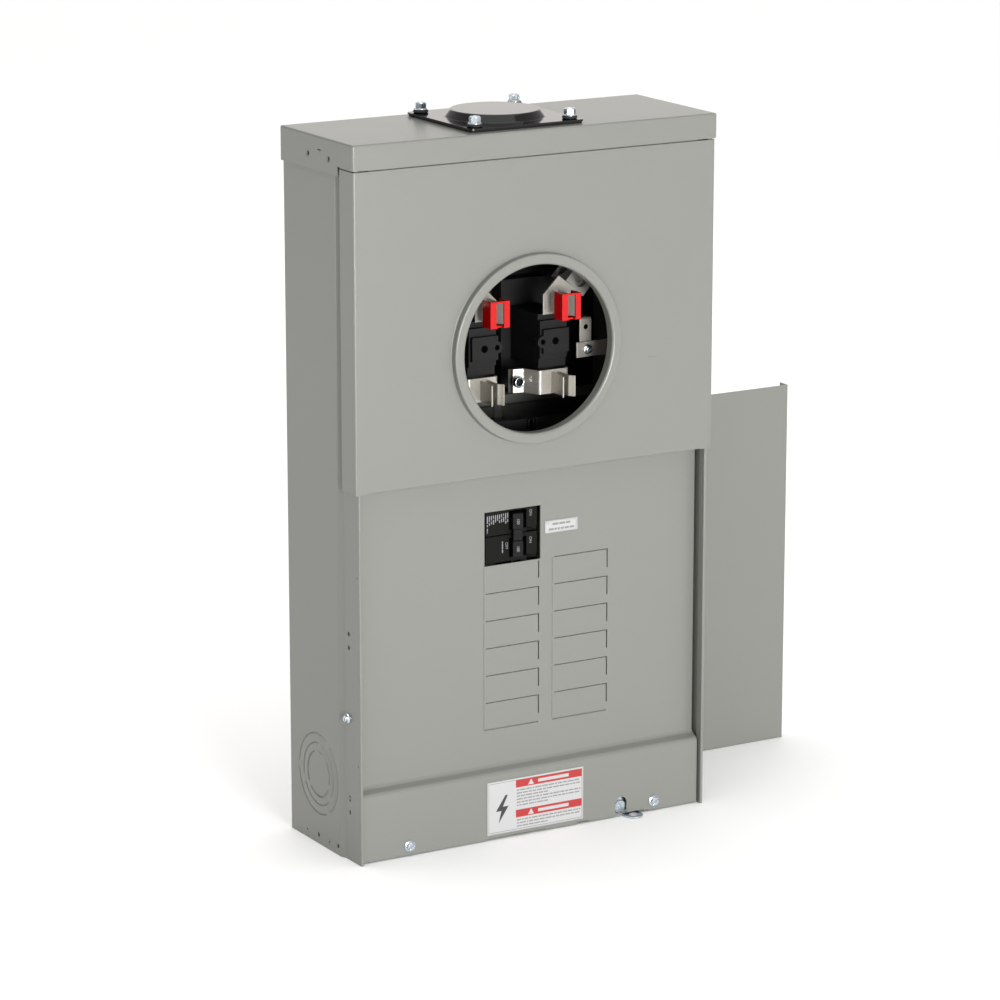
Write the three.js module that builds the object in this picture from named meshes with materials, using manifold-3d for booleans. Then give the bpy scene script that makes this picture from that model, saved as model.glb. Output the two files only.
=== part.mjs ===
// Outdoor meter-main load center: a sheet-steel wall enclosure with a ring-type meter socket above and a
// small breaker panel below, shown with its lift-off door standing behind its right-hand side.
// Millimetres, +Z up, the front faces -Y. The pieces are drawn with z = 0 at the underside and y = 0 at the
// wall; the whole group is then lowered, so that its origin is the middle of the enclosure's back.
import * as THREE from 'three';
import { mergeVertices } from 'three/addons/utils/BufferGeometryUtils.js';
import Module from 'manifold-3d';

const wasm = await Module();
wasm.setup();

// ---- driving dimensions -------------------------------------------------------------------------------
const SHEET = 1.4; // 16 gauge steel
const GAP = 0.3; // clearance between neighbouring pieces
const RAIL_FRONT = -130.4; // front edges of the side rails; depths below are measured back from here
const HEIGHT = 648.5; // underside to the top of the rain cap
const BODY_HALF = 183.2; // half width over the body's sides
const RAIL_HALF = 180.7; // half width over the joggled front rails
const JOGGLE = { start: 28, end: 34 }; // depths between which the sides step in
const BODY_TOP = 646.7;
const CAP = { half: 185.3, front: -2.9, skirt: 30.5, flange: 22.5, slit: 20.5, slitEnd: 24.4, fold: 1.8 };
const COVER = { half: 184.3, front: -1.7, bottom: 340.6, top: 625.5, flange: 25.2 };
const RING = { x: -2, z: 453.3, inner: 75.8, outer: 85.4, foot: 88.4, rise: 6.6, throat: 9.5 };
const DEAD = { half: 177, front: 14.7, top: 352, shelf: 64.6, apron: 4.5, apronHalf: 175.7, bottom: 1.3 };
const WINDOW = { x0: -45.6, x1: 12.6, z0: 254.9, z1: 304.7 };
const TWIST = { z0: 101.9, pitch: 25.5, rows: 6, left: [-46.3, 11.4], right: [25.2, 83.9], slit: 0.7 };
const DOOR = { x1: 361, width: 355, height: 354, flange: 12.7, y: 4 };
const HUB = { x: -5, depth: 65.8, half: 58, bolt: 48.3, hole: 33, thick: 1.8 };
const DOME = { rise: 6.6, foot: 45, crown: 39.5 };
const HUB_GASKET = 1;
const SOCKET = { left: -37.5, right: 36, mid: 450.5, rise: 36.4 };
const BREAKER = { pitch: 25.4, mid: 281.2, x0: -57, x1: 18.4, face: 17.2, back: 74 };
const BUS_CENTRE = 19;
const LINE_LUG = 49; // depth of the main breaker's line terminals
const PAN_DEPTH = 112; // front face of the interior mounting pan
const HASP = { x: 105, depth: 0, radius: 8.6, eye: 3.7 };
const KNOCKOUT = { depth: 76, z: 66.3, radii: [37.3, 28.6, 21] };

const depth = (d) => RAIL_FRONT + d; // world y of a depth behind the rail fronts

// ---- materials ----------------------------------------------------------------------------------------
const paint = { color: 0xa9aba2, roughness: 0.55, metalness: 0.1 };
const black = { color: 0x161617, roughness: 0.5, metalness: 0 };
const tinned = { color: 0xb9b2a4, roughness: 0.35, metalness: 0.9 };
const zinc = { color: 0xa9b4bb, roughness: 0.3, metalness: 1 };
const alloy = { color: 0xa8a8a6, roughness: 0.4, metalness: 0.9 };
const red = { color: 0xc01616, roughness: 0.4, metalness: 0 };
const rubber = { color: 0x141414, roughness: 0.8, metalness: 0 };
const label = { color: 0xeeeeea, roughness: 0.6, metalness: 0 };

// ---- solids -------------------------------------------------------------------------------------------
function solid(geometry) {
  geometry.deleteAttribute('normal');
  geometry.deleteAttribute('uv');
  const merged = mergeVertices(geometry, 1e-4);
  const vertProperties = new Float32Array(merged.attributes.position.array);
  const triVerts = new Uint32Array(merged.index.array);
  return new wasm.Manifold(new wasm.Mesh({ numProp: 3, vertProperties, triVerts }));
}

function geometryOf(manifold) {
  const mesh = manifold.getMesh();
  const geometry = new THREE.BufferGeometry();
  geometry.setAttribute('position', new THREE.Float32BufferAttribute(mesh.vertProperties, 3));
  geometry.setIndex(new THREE.Uint32BufferAttribute(mesh.triVerts, 1));
  return geometry;
}

const join = (first, ...rest) => rest.reduce((sum, piece) => sum.add(piece), first);
const cut = (first, ...rest) => rest.reduce((left, piece) => left.subtract(piece), first);

function slab([x0, x1], [y0, y1], [z0, z1]) {
  const box = new THREE.BoxGeometry(x1 - x0, y1 - y0, z1 - z0);
  return solid(box.translate((x0 + x1) / 2, (y0 + y1) / 2, (z0 + z1) / 2));
}

function extrude(outline, length) {
  const shape = outline instanceof THREE.Shape ? outline : new THREE.Shape(outline);
  return new THREE.ExtrudeGeometry(shape, { depth: length, bevelEnabled: false, curveSegments: 6 });
}

// an (x, y) outline raised from z0 to z1
const prismZ = (outline, [z0, z1]) => solid(extrude(outline, z1 - z0).translate(0, 0, z0));

// an (x, z) outline swept from y0 to y1
const prismY = (outline, [y0, y1]) =>
  solid(extrude(outline, y1 - y0).rotateX(Math.PI / 2).translate(0, y1, 0));

// a (y, z) outline swept from x0 to x1
function prismX(outline, [x0, x1]) {
  const turn = new THREE.Matrix4().makeBasis(
    new THREE.Vector3(0, 1, 0),
    new THREE.Vector3(0, 0, 1),
    new THREE.Vector3(1, 0, 0),
  );
  return solid(extrude(outline, x1 - x0).applyMatrix4(turn).translate(x0, 0, 0));
}

const AXIS_TURN = { x: [0, 0, Math.PI / 2], y: [0, 0, 0], z: [Math.PI / 2, 0, 0] };

// a round bar along an axis, centred on centre, with sides flats
function rod(axis, radius, length, centre, sides = 16, radiusEnd = radius) {
  const bar = new THREE.CylinderGeometry(radiusEnd, radius, length, sides);
  const [rx, ry, rz] = AXIS_TURN[axis];
  return solid(bar.rotateX(rx).rotateY(ry).rotateZ(rz).translate(...centre));
}

// Points and left-hand normals along a polyline whose corners are rounded to a middle radius.
function roundedLine(path, radius, steps = 3) {
  const points = path.map(([x, y]) => new THREE.Vector2(x, y));
  const out = [];
  const add = (point, direction) => out.push({ point, normal: new THREE.Vector2(-direction.y, direction.x) });
  const directions = points.slice(1).map((p, i) => p.clone().sub(points[i]).normalize());
  add(points[0], directions[0]);
  for (let i = 1; i < points.length - 1; i++) {
    const [before, after] = [directions[i - 1], directions[i]];
    const turn = Math.atan2(before.cross(after), before.dot(after));
    const tangent = radius * Math.tan(Math.abs(turn) / 2);
    const start = points[i].clone().addScaledVector(before, -tangent);
    const side = Math.sign(turn);
    const centre = start.clone().add(new THREE.Vector2(-before.y, before.x).multiplyScalar(radius * side));
    const count = Math.max(1, Math.ceil((steps * Math.abs(turn)) / (Math.PI / 2)));
    for (let k = 0; k <= count; k++) {
      const direction = before.clone().rotateAround(new THREE.Vector2(), (turn * k) / count);
      const spoke = new THREE.Vector2(direction.y, -direction.x).multiplyScalar(radius * side);
      add(centre.clone().add(spoke), direction);
    }
  }
  add(points.at(-1), directions.at(-1));
  return out;
}

// Closed outline of a bent sheet whose middle follows the path.
function bentSheet(path, inside = 1, thickness = SHEET, steps = 3) {
  const line = roundedLine(path, inside + thickness / 2, steps);
  const offset = (side) =>
    line.map(({ point, normal }) => point.clone().addScaledVector(normal, (side * thickness) / 2));
  return [...offset(-1), ...offset(1).reverse()];
}

function roundedRectangle(x0, x1, y0, y1, r) {
  const shape = new THREE.Shape();
  shape.moveTo(x0 + r, y0);
  shape.absarc(x1 - r, y0 + r, r, -Math.PI / 2, 0);
  shape.absarc(x1 - r, y1 - r, r, 0, Math.PI / 2);
  shape.absarc(x0 + r, y1 - r, r, Math.PI / 2, Math.PI);
  shape.absarc(x0 + r, y0 + r, r, Math.PI, Math.PI * 1.5);
  return shape;
}

// a ring turned about an axis along y through (x, z); outline points are (radius, y)
function turnedY(outline, x, z, sides) {
  const profile = [...outline, outline[0]].map(([r, y]) => new THREE.Vector2(r, y));
  return solid(new THREE.LatheGeometry(profile, sides).translate(x, 0, z));
}

const parts = new THREE.Group();
parts.position.z = -BODY_TOP / 2;

function part(name, look, manifold, group = parts) {
  const material = new THREE.MeshStandardMaterial({ name, ...look });
  const mesh = new THREE.Mesh(geometryOf(manifold), material);
  mesh.name = name;
  group.add(mesh);
}

// ---- enclosure ----------------------------------------------------------------------------------------
const SIDES = { left: -1, right: 1 };
const HOLE = 1.6;

function sideMarks(sign) {
  const x = sign * BODY_HALF;
  const hole = (d, z, reach, radius = HOLE) => rod('x', radius, reach, [x, depth(d), z], 10);
  const pairs = [210.4, 197.9, 58.1, 45.2].map((z) => hole(20.6, z, 12));
  const welds = [[98.3, 7.8], [55.8, 7.4]].map(([d, z]) => hole(d, z, 0.8));
  const rivets = [[76.6, 8.6], [39.5, 8.6]].map(([d, z]) => hole(d, z, 6));
  return [...pairs, ...welds, ...rivets, hole(22.5, 132.5, 12, 2.4)];
}

// one shallow ring of a concentric knockout, pressed into the side's outer face
function knockoutRing(sign, radius) {
  const [width, sunk] = [0.55, 0.5];
  const centre = [sign * BODY_HALF, depth(KNOCKOUT.depth), KNOCKOUT.z];
  const sides = 30;
  return cut(rod('x', radius + width, 2 * sunk, centre, sides), rod('x', radius - width, 4, centre, sides));
}

function enclosureBody() {
  const [bodyMid, railMid, back] = [BODY_HALF - SHEET / 2, RAIL_HALF - SHEET / 2, -SHEET / 2];
  const half = [
    [railMid, depth(1)],
    [railMid, depth(JOGGLE.start)],
    [bodyMid, depth(JOGGLE.end)],
    [bodyMid, back],
  ];
  const path = [...half.map(([x, y]) => [-x, y]), ...half.toReversed()];
  const shell = prismZ(bentSheet(path, 3, SHEET, 4), [0, BODY_TOP]);
  const hem = (sign) => {
    const [a, b] = [sign * RAIL_HALF, sign * (RAIL_HALF - 2.7)];
    return prismZ(roundedRectangle(Math.min(a, b), Math.max(a, b), depth(0), depth(8), 1.2), [0, BODY_TOP]);
  };
  const wallHoles = [[0, 600], [-140, 330], [140, 330], [-140, 40], [140, 40]].map(([x, z]) =>
    rod('y', 3.6, 12, [x, 0, z], 12),
  );
  const marks = Object.values(SIDES).flatMap((sign) => [
    ...sideMarks(sign),
    ...KNOCKOUT.radii.map((radius) => knockoutRing(sign, radius)),
  ]);
  return cut(join(shell, hem(-1), hem(1)), ...wallHoles, ...marks);
}

function topCap() {
  const top = HEIGHT - SHEET / 2;
  const side = CAP.half - SHEET / 2;
  const front = depth(CAP.front);
  const section = bentSheet(
    [[-side, HEIGHT - CAP.skirt], [-side, top], [side, top], [side, HEIGHT - CAP.skirt]],
    CAP.fold - SHEET,
  );
  const shell = prismY(section, [front, 0]);
  const flange = slab([-side, side], [front, front + SHEET], [HEIGHT - CAP.flange, top]);
  // the front fold is rounded, and the skirt is cut short ahead of its slit
  const r = CAP.fold;
  const envelope = new THREE.Shape();
  envelope.moveTo(1, HEIGHT - CAP.skirt - 1);
  envelope.lineTo(1, HEIGHT + 1);
  envelope.lineTo(front + r, HEIGHT + 1);
  envelope.lineTo(front + r, HEIGHT);
  envelope.absarc(front + r, HEIGHT - r, r, Math.PI / 2, Math.PI);
  envelope.lineTo(front, HEIGHT - CAP.flange);
  envelope.lineTo(depth(CAP.slit), HEIGHT - CAP.flange);
  envelope.lineTo(depth(CAP.slit), HEIGHT - CAP.flange + 0.8);
  envelope.lineTo(depth(CAP.slitEnd), HEIGHT - CAP.flange + 0.8);
  envelope.lineTo(depth(CAP.slitEnd), HEIGHT - CAP.skirt - 1);
  const bent = join(shell, flange).intersect(prismX(envelope, [-CAP.half - 1, CAP.half + 1]));
  const bolts = hubBoltCentres().map(([x, y]) => rod('z', 3.4, 10, [x, y, HEIGHT], 12));
  const clinches = Object.values(SIDES).flatMap((sign) =>
    [79.7, 41.7].map((d) => rod('x', 1.9, 8, [sign * CAP.half, depth(d), 631.2], 12)),
  );
  const lances = Object.values(SIDES).map((sign) => {
    const x = sign * CAP.half;
    return slab([x - 3, x + 3], [depth(54.6), depth(61.2)], [636.2, 637.4]);
  });
  const hub = rod('z', HUB.hole, 10, [HUB.x, depth(HUB.depth), HEIGHT], 40);
  return cut(bent, hub, ...bolts, ...clinches, ...lances);
}

// The bottom wall has side flanges that reach up inside the body and a front flange behind the apron.
function bottomEndwall() {
  const [z0, z1] = [0.6, 0.6 + SHEET];
  const narrow = RAIL_HALF - SHEET - 0.5;
  const wide = BODY_HALF - SHEET - 0.5;
  const [front, back] = [depth(7), -SHEET - 0.5];
  const plate = prismZ(
    [
      [-narrow + 1.4, front], [narrow - 1.4, front], [narrow - 1.4, depth(9)], [narrow, depth(9)],
      [narrow, depth(36)], [wide, depth(39)], [wide, back - 4], [wide - 4, back],
      [-wide + 4, back], [-wide, back - 4], [-wide, depth(39)], [-narrow, depth(36)],
      [-narrow, depth(9)], [-narrow + 1.4, depth(9)],
    ].map(([x, y]) => new THREE.Vector2(x, y)),
    [z0, z1],
  );
  const flange = (sign) => {
    const [a, b] = [sign * wide, sign * (wide - SHEET)];
    return slab([Math.min(a, b), Math.max(a, b)], [depth(42), depth(120)], [z0, 17]);
  };
  const frontFlange = slab([-170, 170], [front, front + SHEET], [z0, 21]);
  const rings = [[-95, 60, 30], [-95, 60, 20], [25, 66, 25], [25, 66, 16]].map(([x, d, radius]) => {
    const groove = rod('z', radius + 0.5, 0.8, [x, depth(d), z0], 32);
    return cut(groove, rod('z', radius - 0.5, 3, [x, depth(d), z0], 32));
  });
  const haspGap = slab([84, 126], [front - 1, depth(13)], [0, 23]);
  const screwHoles = [-1, 1].map((sign) => rod('y', 2.9, 8, [sign * 129.2, front, 9.8], 12));
  return cut(join(plate, flange(-1), flange(1), frontFlange), haspGap, ...rings, ...screwHoles);
}

// ---- covers -------------------------------------------------------------------------------------------
// The drawn ring: a foot fillet, a rounded outer wall, a flat face and a rolled throat, all one sheet.
function meterRing() {
  const y = (d) => depth(COVER.front + d);
  const mid = SHEET / 2;
  const path = [
    [RING.foot + 4, y(mid)],
    [RING.foot - 1.4, y(mid)],
    [RING.outer - mid, y(mid - RING.rise)],
    [RING.inner + mid, y(mid - RING.rise)],
    [RING.inner + mid, y(RING.throat - RING.rise)],
  ];
  const outline = bentSheet(path, 1.6, SHEET, 2).map((p) => [p.x, p.y]);
  return turnedY(outline, RING.x, RING.z, 56);
}

function meterCover() {
  const [front, inner] = [depth(COVER.front), depth(COVER.front) + SHEET];
  const side = COVER.half - SHEET / 2;
  const wrap = bentSheet(
    [[-side, depth(COVER.flange - 2)], [-side, front + SHEET / 2], [side, front + SHEET / 2],
      [side, depth(COVER.flange - 2)]],
    1,
  );
  const shell = prismZ(wrap, [COVER.bottom, COVER.top]);
  const lip = slab([-172, 172], [front, depth(7.5)], [COVER.bottom, COVER.bottom + SHEET]);
  const tongue = prismX(
    bentSheet(
      [[inner - SHEET / 2, COVER.top - 8], [inner - SHEET / 2, COVER.top - 2],
        [inner + 1.6, COVER.top + 2], [inner + 1.6, COVER.top + 14]],
      0.4,
    ),
    [-168, 168],
  );
  const opening = rod('y', RING.foot + 2, 12, [RING.x, front, RING.z], 56);
  const dimples = [[-123.5, 441], [119.6, 432.5]].map(([x, z]) =>
    slab([x - 4.5, x + 4.5], [front - 1, front + 0.25], [z, z + 0.9]),
  );
  return join(cut(join(shell, lip, tongue), opening, ...dimples), meterRing());
}

// A twistout is cut free along its top and the upper part of its right side.
function twistoutSlits([x0, x1]) {
  const { z0, pitch, rows, slit } = TWIST;
  const through = [depth(DEAD.front - 2), depth(DEAD.front + 4)];
  const scored = [depth(DEAD.front - 1), depth(DEAD.front + 0.45)];
  return Array.from({ length: rows }, (_, row) => {
    const [bottom, top] = [z0 + row * pitch, z0 + (row + 1) * pitch];
    return [
      slab([x0 + 2.5, x1], through, [top - slit / 2, top + slit / 2]),
      slab([x1 - 1, x1], through, [top - 0.68 * pitch, top]),
      slab([x0, x0 + 0.4], scored, [bottom + 1, top]),
    ];
  }).flat().concat(slab([x0, x1 - 1.5], scored, [z0 - 0.6, z0 + 0.6]));
}

function deadFront() {
  const [upper, apron] = [depth(DEAD.front) + SHEET / 2, depth(DEAD.apron) + SHEET / 2];
  const section = bentSheet(
    [[upper, DEAD.top], [upper, DEAD.shelf + 1.6], [apron, DEAD.shelf - 1.4], [apron, DEAD.bottom]],
    1.6, SHEET, 4,
  );
  const sheet = prismX(section, [-DEAD.half, DEAD.half]);
  const trims = [-1, 1].map((sign) => {
    const [a, b] = [sign * DEAD.apronHalf, sign * (DEAD.half + 1)];
    return slab([Math.min(a, b), Math.max(a, b)], [depth(0), depth(13)], [0, DEAD.shelf + 5]);
  });
  const window = slab([WINDOW.x0, WINDOW.x1], [upper - 5, upper + 5], [WINDOW.z0, WINDOW.z1]);
  const slot = join(
    slab([88, 100], [apron - 5, apron + 5], [-1, 13.2]),
    rod('y', 6, 10, [94, apron, 13.2], 20),
  );
  const notches = [[-48, 11, 2.3], [46.5, 58.6, 2.6], [95, 119, 3.1], [120.6, 124, 2.2]].map(([x0, x1, z]) =>
    slab([x0, x1], [apron - 5, apron + 5], [-1, z]),
  );
  const screwHoles = [-1, 1].map((sign) => rod('y', 2.7, 8, [sign * 129.2, apron, 9.8], 12));
  return cut(
    sheet, window, slot, ...trims, ...notches, ...screwHoles,
    ...twistoutSlits(TWIST.left), ...twistoutSlits(TWIST.right),
  );
}

// The door is a plain pan with side flanges, standing on its lower edge behind the enclosure.
function door() {
  const [x0, x1] = [DOOR.x1 - DOOR.width + SHEET / 2, DOOR.x1 - SHEET / 2];
  const [face, back] = [DOOR.y + SHEET / 2, DOOR.y + DOOR.flange];
  const section = bentSheet([[x0, back], [x0, face], [x1, face], [x1, back]], 1);
  const panel = prismZ(section, [0, DOOR.height]);
  const outline = roundedRectangle(DOOR.x1 - DOOR.width - 1, DOOR.x1 + 1, -4, DOOR.height + 1, 0.5);
  const foot = slab([x0, x1], [DOOR.y, DOOR.y + 4], [0, SHEET]);
  return join(panel, foot).intersect(prismY(outline, [DOOR.y - 1, back + 1]));
}

// ---- hub closure --------------------------------------------------------------------------------------
function hubBoltCentres() {
  const y = depth(HUB.depth);
  return [[-1, 1], [-1, -1], [1, -1], [1, 1]].map(([i, j]) => [HUB.x + i * HUB.bolt, y + j * HUB.bolt]);
}

const HUB_PLATE_Z = HEIGHT + HUB_GASKET + 2 * GAP;

function squareSheet(half, z0, thickness) {
  const y = depth(HUB.depth);
  return prismZ(roundedRectangle(HUB.x - half, HUB.x + half, y - half, y + half, 3), [z0, z0 + thickness]);
}

function boredAtBolts(sheet, radius) {
  return cut(sheet, ...hubBoltCentres().map(([x, y]) => rod('z', radius, 20, [x, y, HUB_PLATE_Z], 12)));
}

function hubGasket() {
  const sheet = squareSheet(HUB.half - 1, HEIGHT + GAP, HUB_GASKET);
  return boredAtBolts(cut(sheet, rod('z', 40, 10, [HUB.x, depth(HUB.depth), HEIGHT], 32)), 3.4);
}

function hubPlate() {
  const [x, y] = [HUB.x, depth(HUB.depth)];
  const top = HUB_PLATE_Z + HUB.thick;
  const dome = (grow, z0, z1) => {
    const turned = new THREE.LatheGeometry(
      [
        [0, z0], [DOME.foot - grow, z0], [DOME.foot - grow, top + 0.4 - grow],
        [DOME.crown - grow + 1, z1 - 1], [DOME.crown - grow - 0.4, z1 - 0.25], [DOME.crown - grow - 2.5, z1],
        [0, z1],
      ].map(([r, z]) => new THREE.Vector2(r, z)),
      48,
    );
    return solid(turned.rotateX(Math.PI / 2).translate(x, y, 0));
  };
  const raised = dome(0, HUB_PLATE_Z, top + DOME.rise);
  const hollow = dome(1.6, HUB_PLATE_Z - 1, top + DOME.rise - 1.6);
  return boredAtBolts(cut(join(squareSheet(HUB.half, HUB_PLATE_Z, HUB.thick), raised), hollow), 3.4);
}

// hex flange bolt standing on a sealing washer, with its shank through the plate and the cap
function hubBolt([x, y]) {
  const seat = HUB_PLATE_Z + HUB.thick + GAP + 2.2;
  const flange = rod('z', 5.6, 1.2, [x, y, seat + 0.3 + 0.6], 20);
  const head = rod('z', 4.7, 5.4, [x, y, seat + 0.3 + 1.1 + 2.7], 6);
  const dish = rod('z', 2.6, 1.6, [x, y, seat + 0.3 + 6.4], 12);
  const shank = rod('z', 2.9, 16, [x, y, seat + 0.8 - 8], 12);
  return join(cut(join(flange, head), dish), shank);
}

function hubWasher([x, y]) {
  const z = HUB_PLATE_Z + HUB.thick + GAP + 1.1;
  return cut(rod('z', 6.8, 2.2, [x, y, z], 20), rod('z', 3.3, 6, [x, y, z], 12));
}

// ---- screws, latch and labels -------------------------------------------------------------------------
// slotted hex washer-head screw lying along an axis; out is the way its head faces
function hexScrew(axis, out, [x, y, z], { hex = 4.2, reach = 11 } = {}) {
  const along = (from, to) => {
    const mid = (out * (from + to)) / 2;
    return axis === 'x' ? [x + mid, y, z] : [x, y + mid, z];
  };
  const washer = rod(axis, hex + 0.9, 0.9, along(0, 0.9), 18);
  const head = rod(axis, hex, 3.2, along(0.7, 3.9), 6);
  const shank = rod(axis, 2.1, reach + 0.5, along(-reach, 0.5), 12);
  const at = along(3.4, 4.4);
  const slot = axis === 'x'
    ? slab([at[0] - 0.5, at[0] + 0.5], [y - 6, y + 6], [z - 0.5, z + 0.5])
    : slab([x - 6, x + 6], [at[1] - 0.5, at[1] + 0.5], [z - 0.5, z + 0.5]);
  return cut(join(washer, head, shank), slot);
}

// The padlock hasp: an upright leaf behind the apron's slot and a flat tongue with an eye, running forward.
function padlockHasp() {
  const [z0, z1] = [0.5, 2.1];
  const [leaf, eye] = [depth(9), depth(HASP.depth)];
  const tongue = new THREE.Shape();
  tongue.moveTo(HASP.x - HASP.radius, leaf + 1.6);
  tongue.absarc(HASP.x, eye, HASP.radius, Math.PI, 2 * Math.PI);
  tongue.lineTo(HASP.x + HASP.radius, leaf + 1.6);
  const bar = prismZ(tongue, [z0, z1]);
  const upright = slab([88.5, HASP.x + HASP.radius], [leaf, leaf + 1.6], [z0, 18]);
  return cut(join(bar, upright), rod('z', HASP.eye, 6, [HASP.x, eye, z0], 20));
}

function dangerLabel() {
  const front = depth(DEAD.apron) - GAP;
  return slab([-49, 52.7], [front - 0.2, front], [5.2, 55.4]);
}

function serviceLabel() {
  const front = depth(DEAD.front) - GAP;
  return slab([16.9, 51.7], [front - 0.2, front], [277.6, 289.2]);
}

// ---- meter socket -------------------------------------------------------------------------------------
// The black jaw block: a pillar on a wide foot, with a boss across its front and an ear towards the middle.
function jawBlock(x, ear) {
  const { mid } = SOCKET;
  const pillar = slab([x - 14, x + 14], [depth(32), depth(100)], [mid - 25, mid + 24]);
  const foot = slab([x - 24, x + 24], [depth(84), depth(100)], [mid - 48, mid + 48]);
  const boss = slab([x - 12.5, x + 14], [depth(28), depth(33)], [mid - 11, mid + 11]);
  const earX = x + ear * 13;
  const lug = join(
    rod('y', 5.6, 5, [earX, depth(30.5), mid], 16),
    slab([Math.min(x, earX), Math.max(x, earX)], [depth(28.8), depth(33)], [mid - 4.5, mid + 4.5]),
  );
  const bores = [
    rod('y', 3.4, 20, [x, depth(30), mid], 16),
    rod('y', 2.5, 20, [earX, depth(30), mid], 12),
  ];
  const steps = [
    slab([x - 20, x + 20], [depth(31), depth(34.5)], [mid - 26, mid - 16.5]),
    slab([x - 20, x + 20], [depth(31), depth(36)], [mid + 18.5, mid + 26]),
  ];
  return cut(join(pillar, foot, boss, lug), ...bores, ...steps);
}

// Two spring leaves with flared tips rise from a back plate; z is the middle height, tall the leaf height.
function springJaw(x, z, tall, plate, tip) {
  const leaf = (side) => bentSheet(
    [[x + side * 3.2, depth(29.4)], [x + side * 2.4, depth(tip + 5.3)], [x + side * 6.4, depth(tip)]],
    1.2, 1.2, 3,
  );
  const leaves = [-1, 1].map((side) => prismZ(leaf(side), [z - tall / 2, z + tall / 2]));
  return join(plate, ...leaves);
}

// The line jaw's plate rises to a gable, and a shoulder on its outer side carries the conductor lug.
function lineJaw(x, out) {
  const z = SOCKET.mid + SOCKET.rise;
  const outline = [[-12.5, -11.5], [9, -11.5], [9, -2], [22, 4], [22, 8], [3.5, 22.5], [-12.5, 6.5]];
  const points = outline.map(([u, v]) => new THREE.Vector2(x + out * u, z + v));
  const plate = prismY(out < 0 ? points.toReversed() : points, [depth(28.8), depth(31)]);
  return springJaw(x, z - 0.5, 20, plate, 5.6);
}

function jawGuard(x) {
  const z = SOCKET.mid + SOCKET.rise - 1.2;
  const shell = slab([x - 8.5, x + 11], [depth(2.6), depth(17)], [z - 12, z + 12]);
  const throat = slab([x - 6.9, x + 8.6], [depth(4.4), depth(18)], [z - 10.4, z + 14]);
  const mouth = slab([x - 2.4, x + 5.4], [depth(1), depth(6)], [z - 10.4, z + 10.4]);
  const drip = slab([x - 1, x + 5], [depth(1), depth(6)], [z - 14, z - 10]);
  return cut(shell, throat, mouth, drip);
}

// The box lug sits turned on the line jaw's shoulder, with its set screw facing forward.
function lineLug(x, out) {
  const [cx, cz] = [x + out * 28, SOCKET.mid + SOCKET.rise + 15.6];
  const box = new THREE.BoxGeometry(24, 26, 19).rotateY((out * Math.PI) / 4.3).translate(cx, depth(44.5), cz);
  const wire = new THREE.CylinderGeometry(6.2, 6.2, 60, 20)
    .rotateZ(Math.PI / 2)
    .rotateY((out * Math.PI) / 4.3)
    .translate(cx, depth(49), cz);
  return cut(solid(box), solid(wire), rod('y', 6.3, 22, [cx, depth(33), cz], 20));
}

function lugScrew(x, out) {
  const [cx, cz] = [x + out * 28, SOCKET.mid + SOCKET.rise + 15.6];
  const body = rod('y', 5.9, 7, [cx, depth(39), cz], 20);
  return cut(body, rod('y', 3, 5, [cx, depth(36), cz], 6));
}

// The load jaw's plate folds back past the block and ends in a pad for the load strap.
function loadJaw(x) {
  const z = SOCKET.mid - SOCKET.rise - 1.3;
  const [z0, z1] = [z - 10.5, z + 11.5];
  const tail = bentSheet(
    [[x + 14, depth(36)], [x + 14, depth(30)], [x - 15.5, depth(30)], [x - 22.5, depth(46)],
      [x - 33, depth(48)]],
    1.4, 1.6, 4,
  );
  const plate = prismZ(tail, [z0, z1]);
  return springJaw(x, z, 19, plate, 4.2);
}

function loadScrew(x) {
  const z = SOCKET.mid - SOCKET.rise - 0.8;
  const at = [x - 30, depth(42.3), z];
  const head = rod('y', 5.2, 5, at, 12);
  return cut(head, rod('y', 3, 3, [at[0], depth(39.8), z], 6));
}

// The side strap runs from the right-hand wall to the socket, with an upright tab screwed behind it.
function groundStrap() {
  const z = SOCKET.mid - 13;
  const path = [[62.5, depth(36)], [140, depth(40)], [148, depth(60)], [172, depth(60)]];
  const strap = prismZ(bentSheet(path, 2, 1.8), [z - 7, z + 7]);
  return cut(strap, rod('y', 2.4, 8, [74, depth(36.5), z], 12));
}

function groundTab() {
  const z = SOCKET.mid - 13;
  const path = [[depth(39), z - 7], [depth(39), z + 28], [depth(56), z + 28]];
  const tab = prismX(bentSheet(path, 1, 1.6), [67.5, 79.5]);
  return cut(tab, rod('y', 2.4, 8, [74, depth(39), z], 12), rod('y', 2.4, 8, [74, depth(39), z + 20], 12));
}

// ---- interior -----------------------------------------------------------------------------------------
function meterPan() {
  const [z0, z1] = [388, 520];
  const plate = slab([-120, 120], [depth(101), depth(102.6)], [z0, z1]);
  const legs = [-1, 1].map((sign) => {
    const [a, b] = [sign * 118.4, sign * 120];
    return slab([Math.min(a, b), Math.max(a, b)], [depth(101), depth(127.6)], [z0, z1]);
  });
  return join(plate, ...legs);
}

// The barrier shelf between the meter space above and the breakers below, with a ribbed front skirt.
function barrierShelf() {
  const [z0, z1] = [371.6, 374];
  const shelf = slab([-150, 176], [depth(52), depth(120)], [z0, z1]);
  const skirt = slab([-150, 176], [depth(50), depth(52.6)], [354, z1 + 2.5]);
  const ribs = [19.5, 27.5].map((x) => slab([x - 0.9, x + 0.9], [depth(46.5), depth(50.5)], [354, z1 + 2.5]));
  const slot = slab([21.2, 25.8], [depth(48), depth(60)], [360, z1 + 4]);
  const wires = [SOCKET.left, SOCKET.right].map((x) =>
    slab([x - 39, x - 26], [depth(72), depth(79)], [z0 - 4, z1 + 4]),
  );
  return cut(join(shelf, skirt, ...ribs), slot, ...wires);
}

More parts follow.
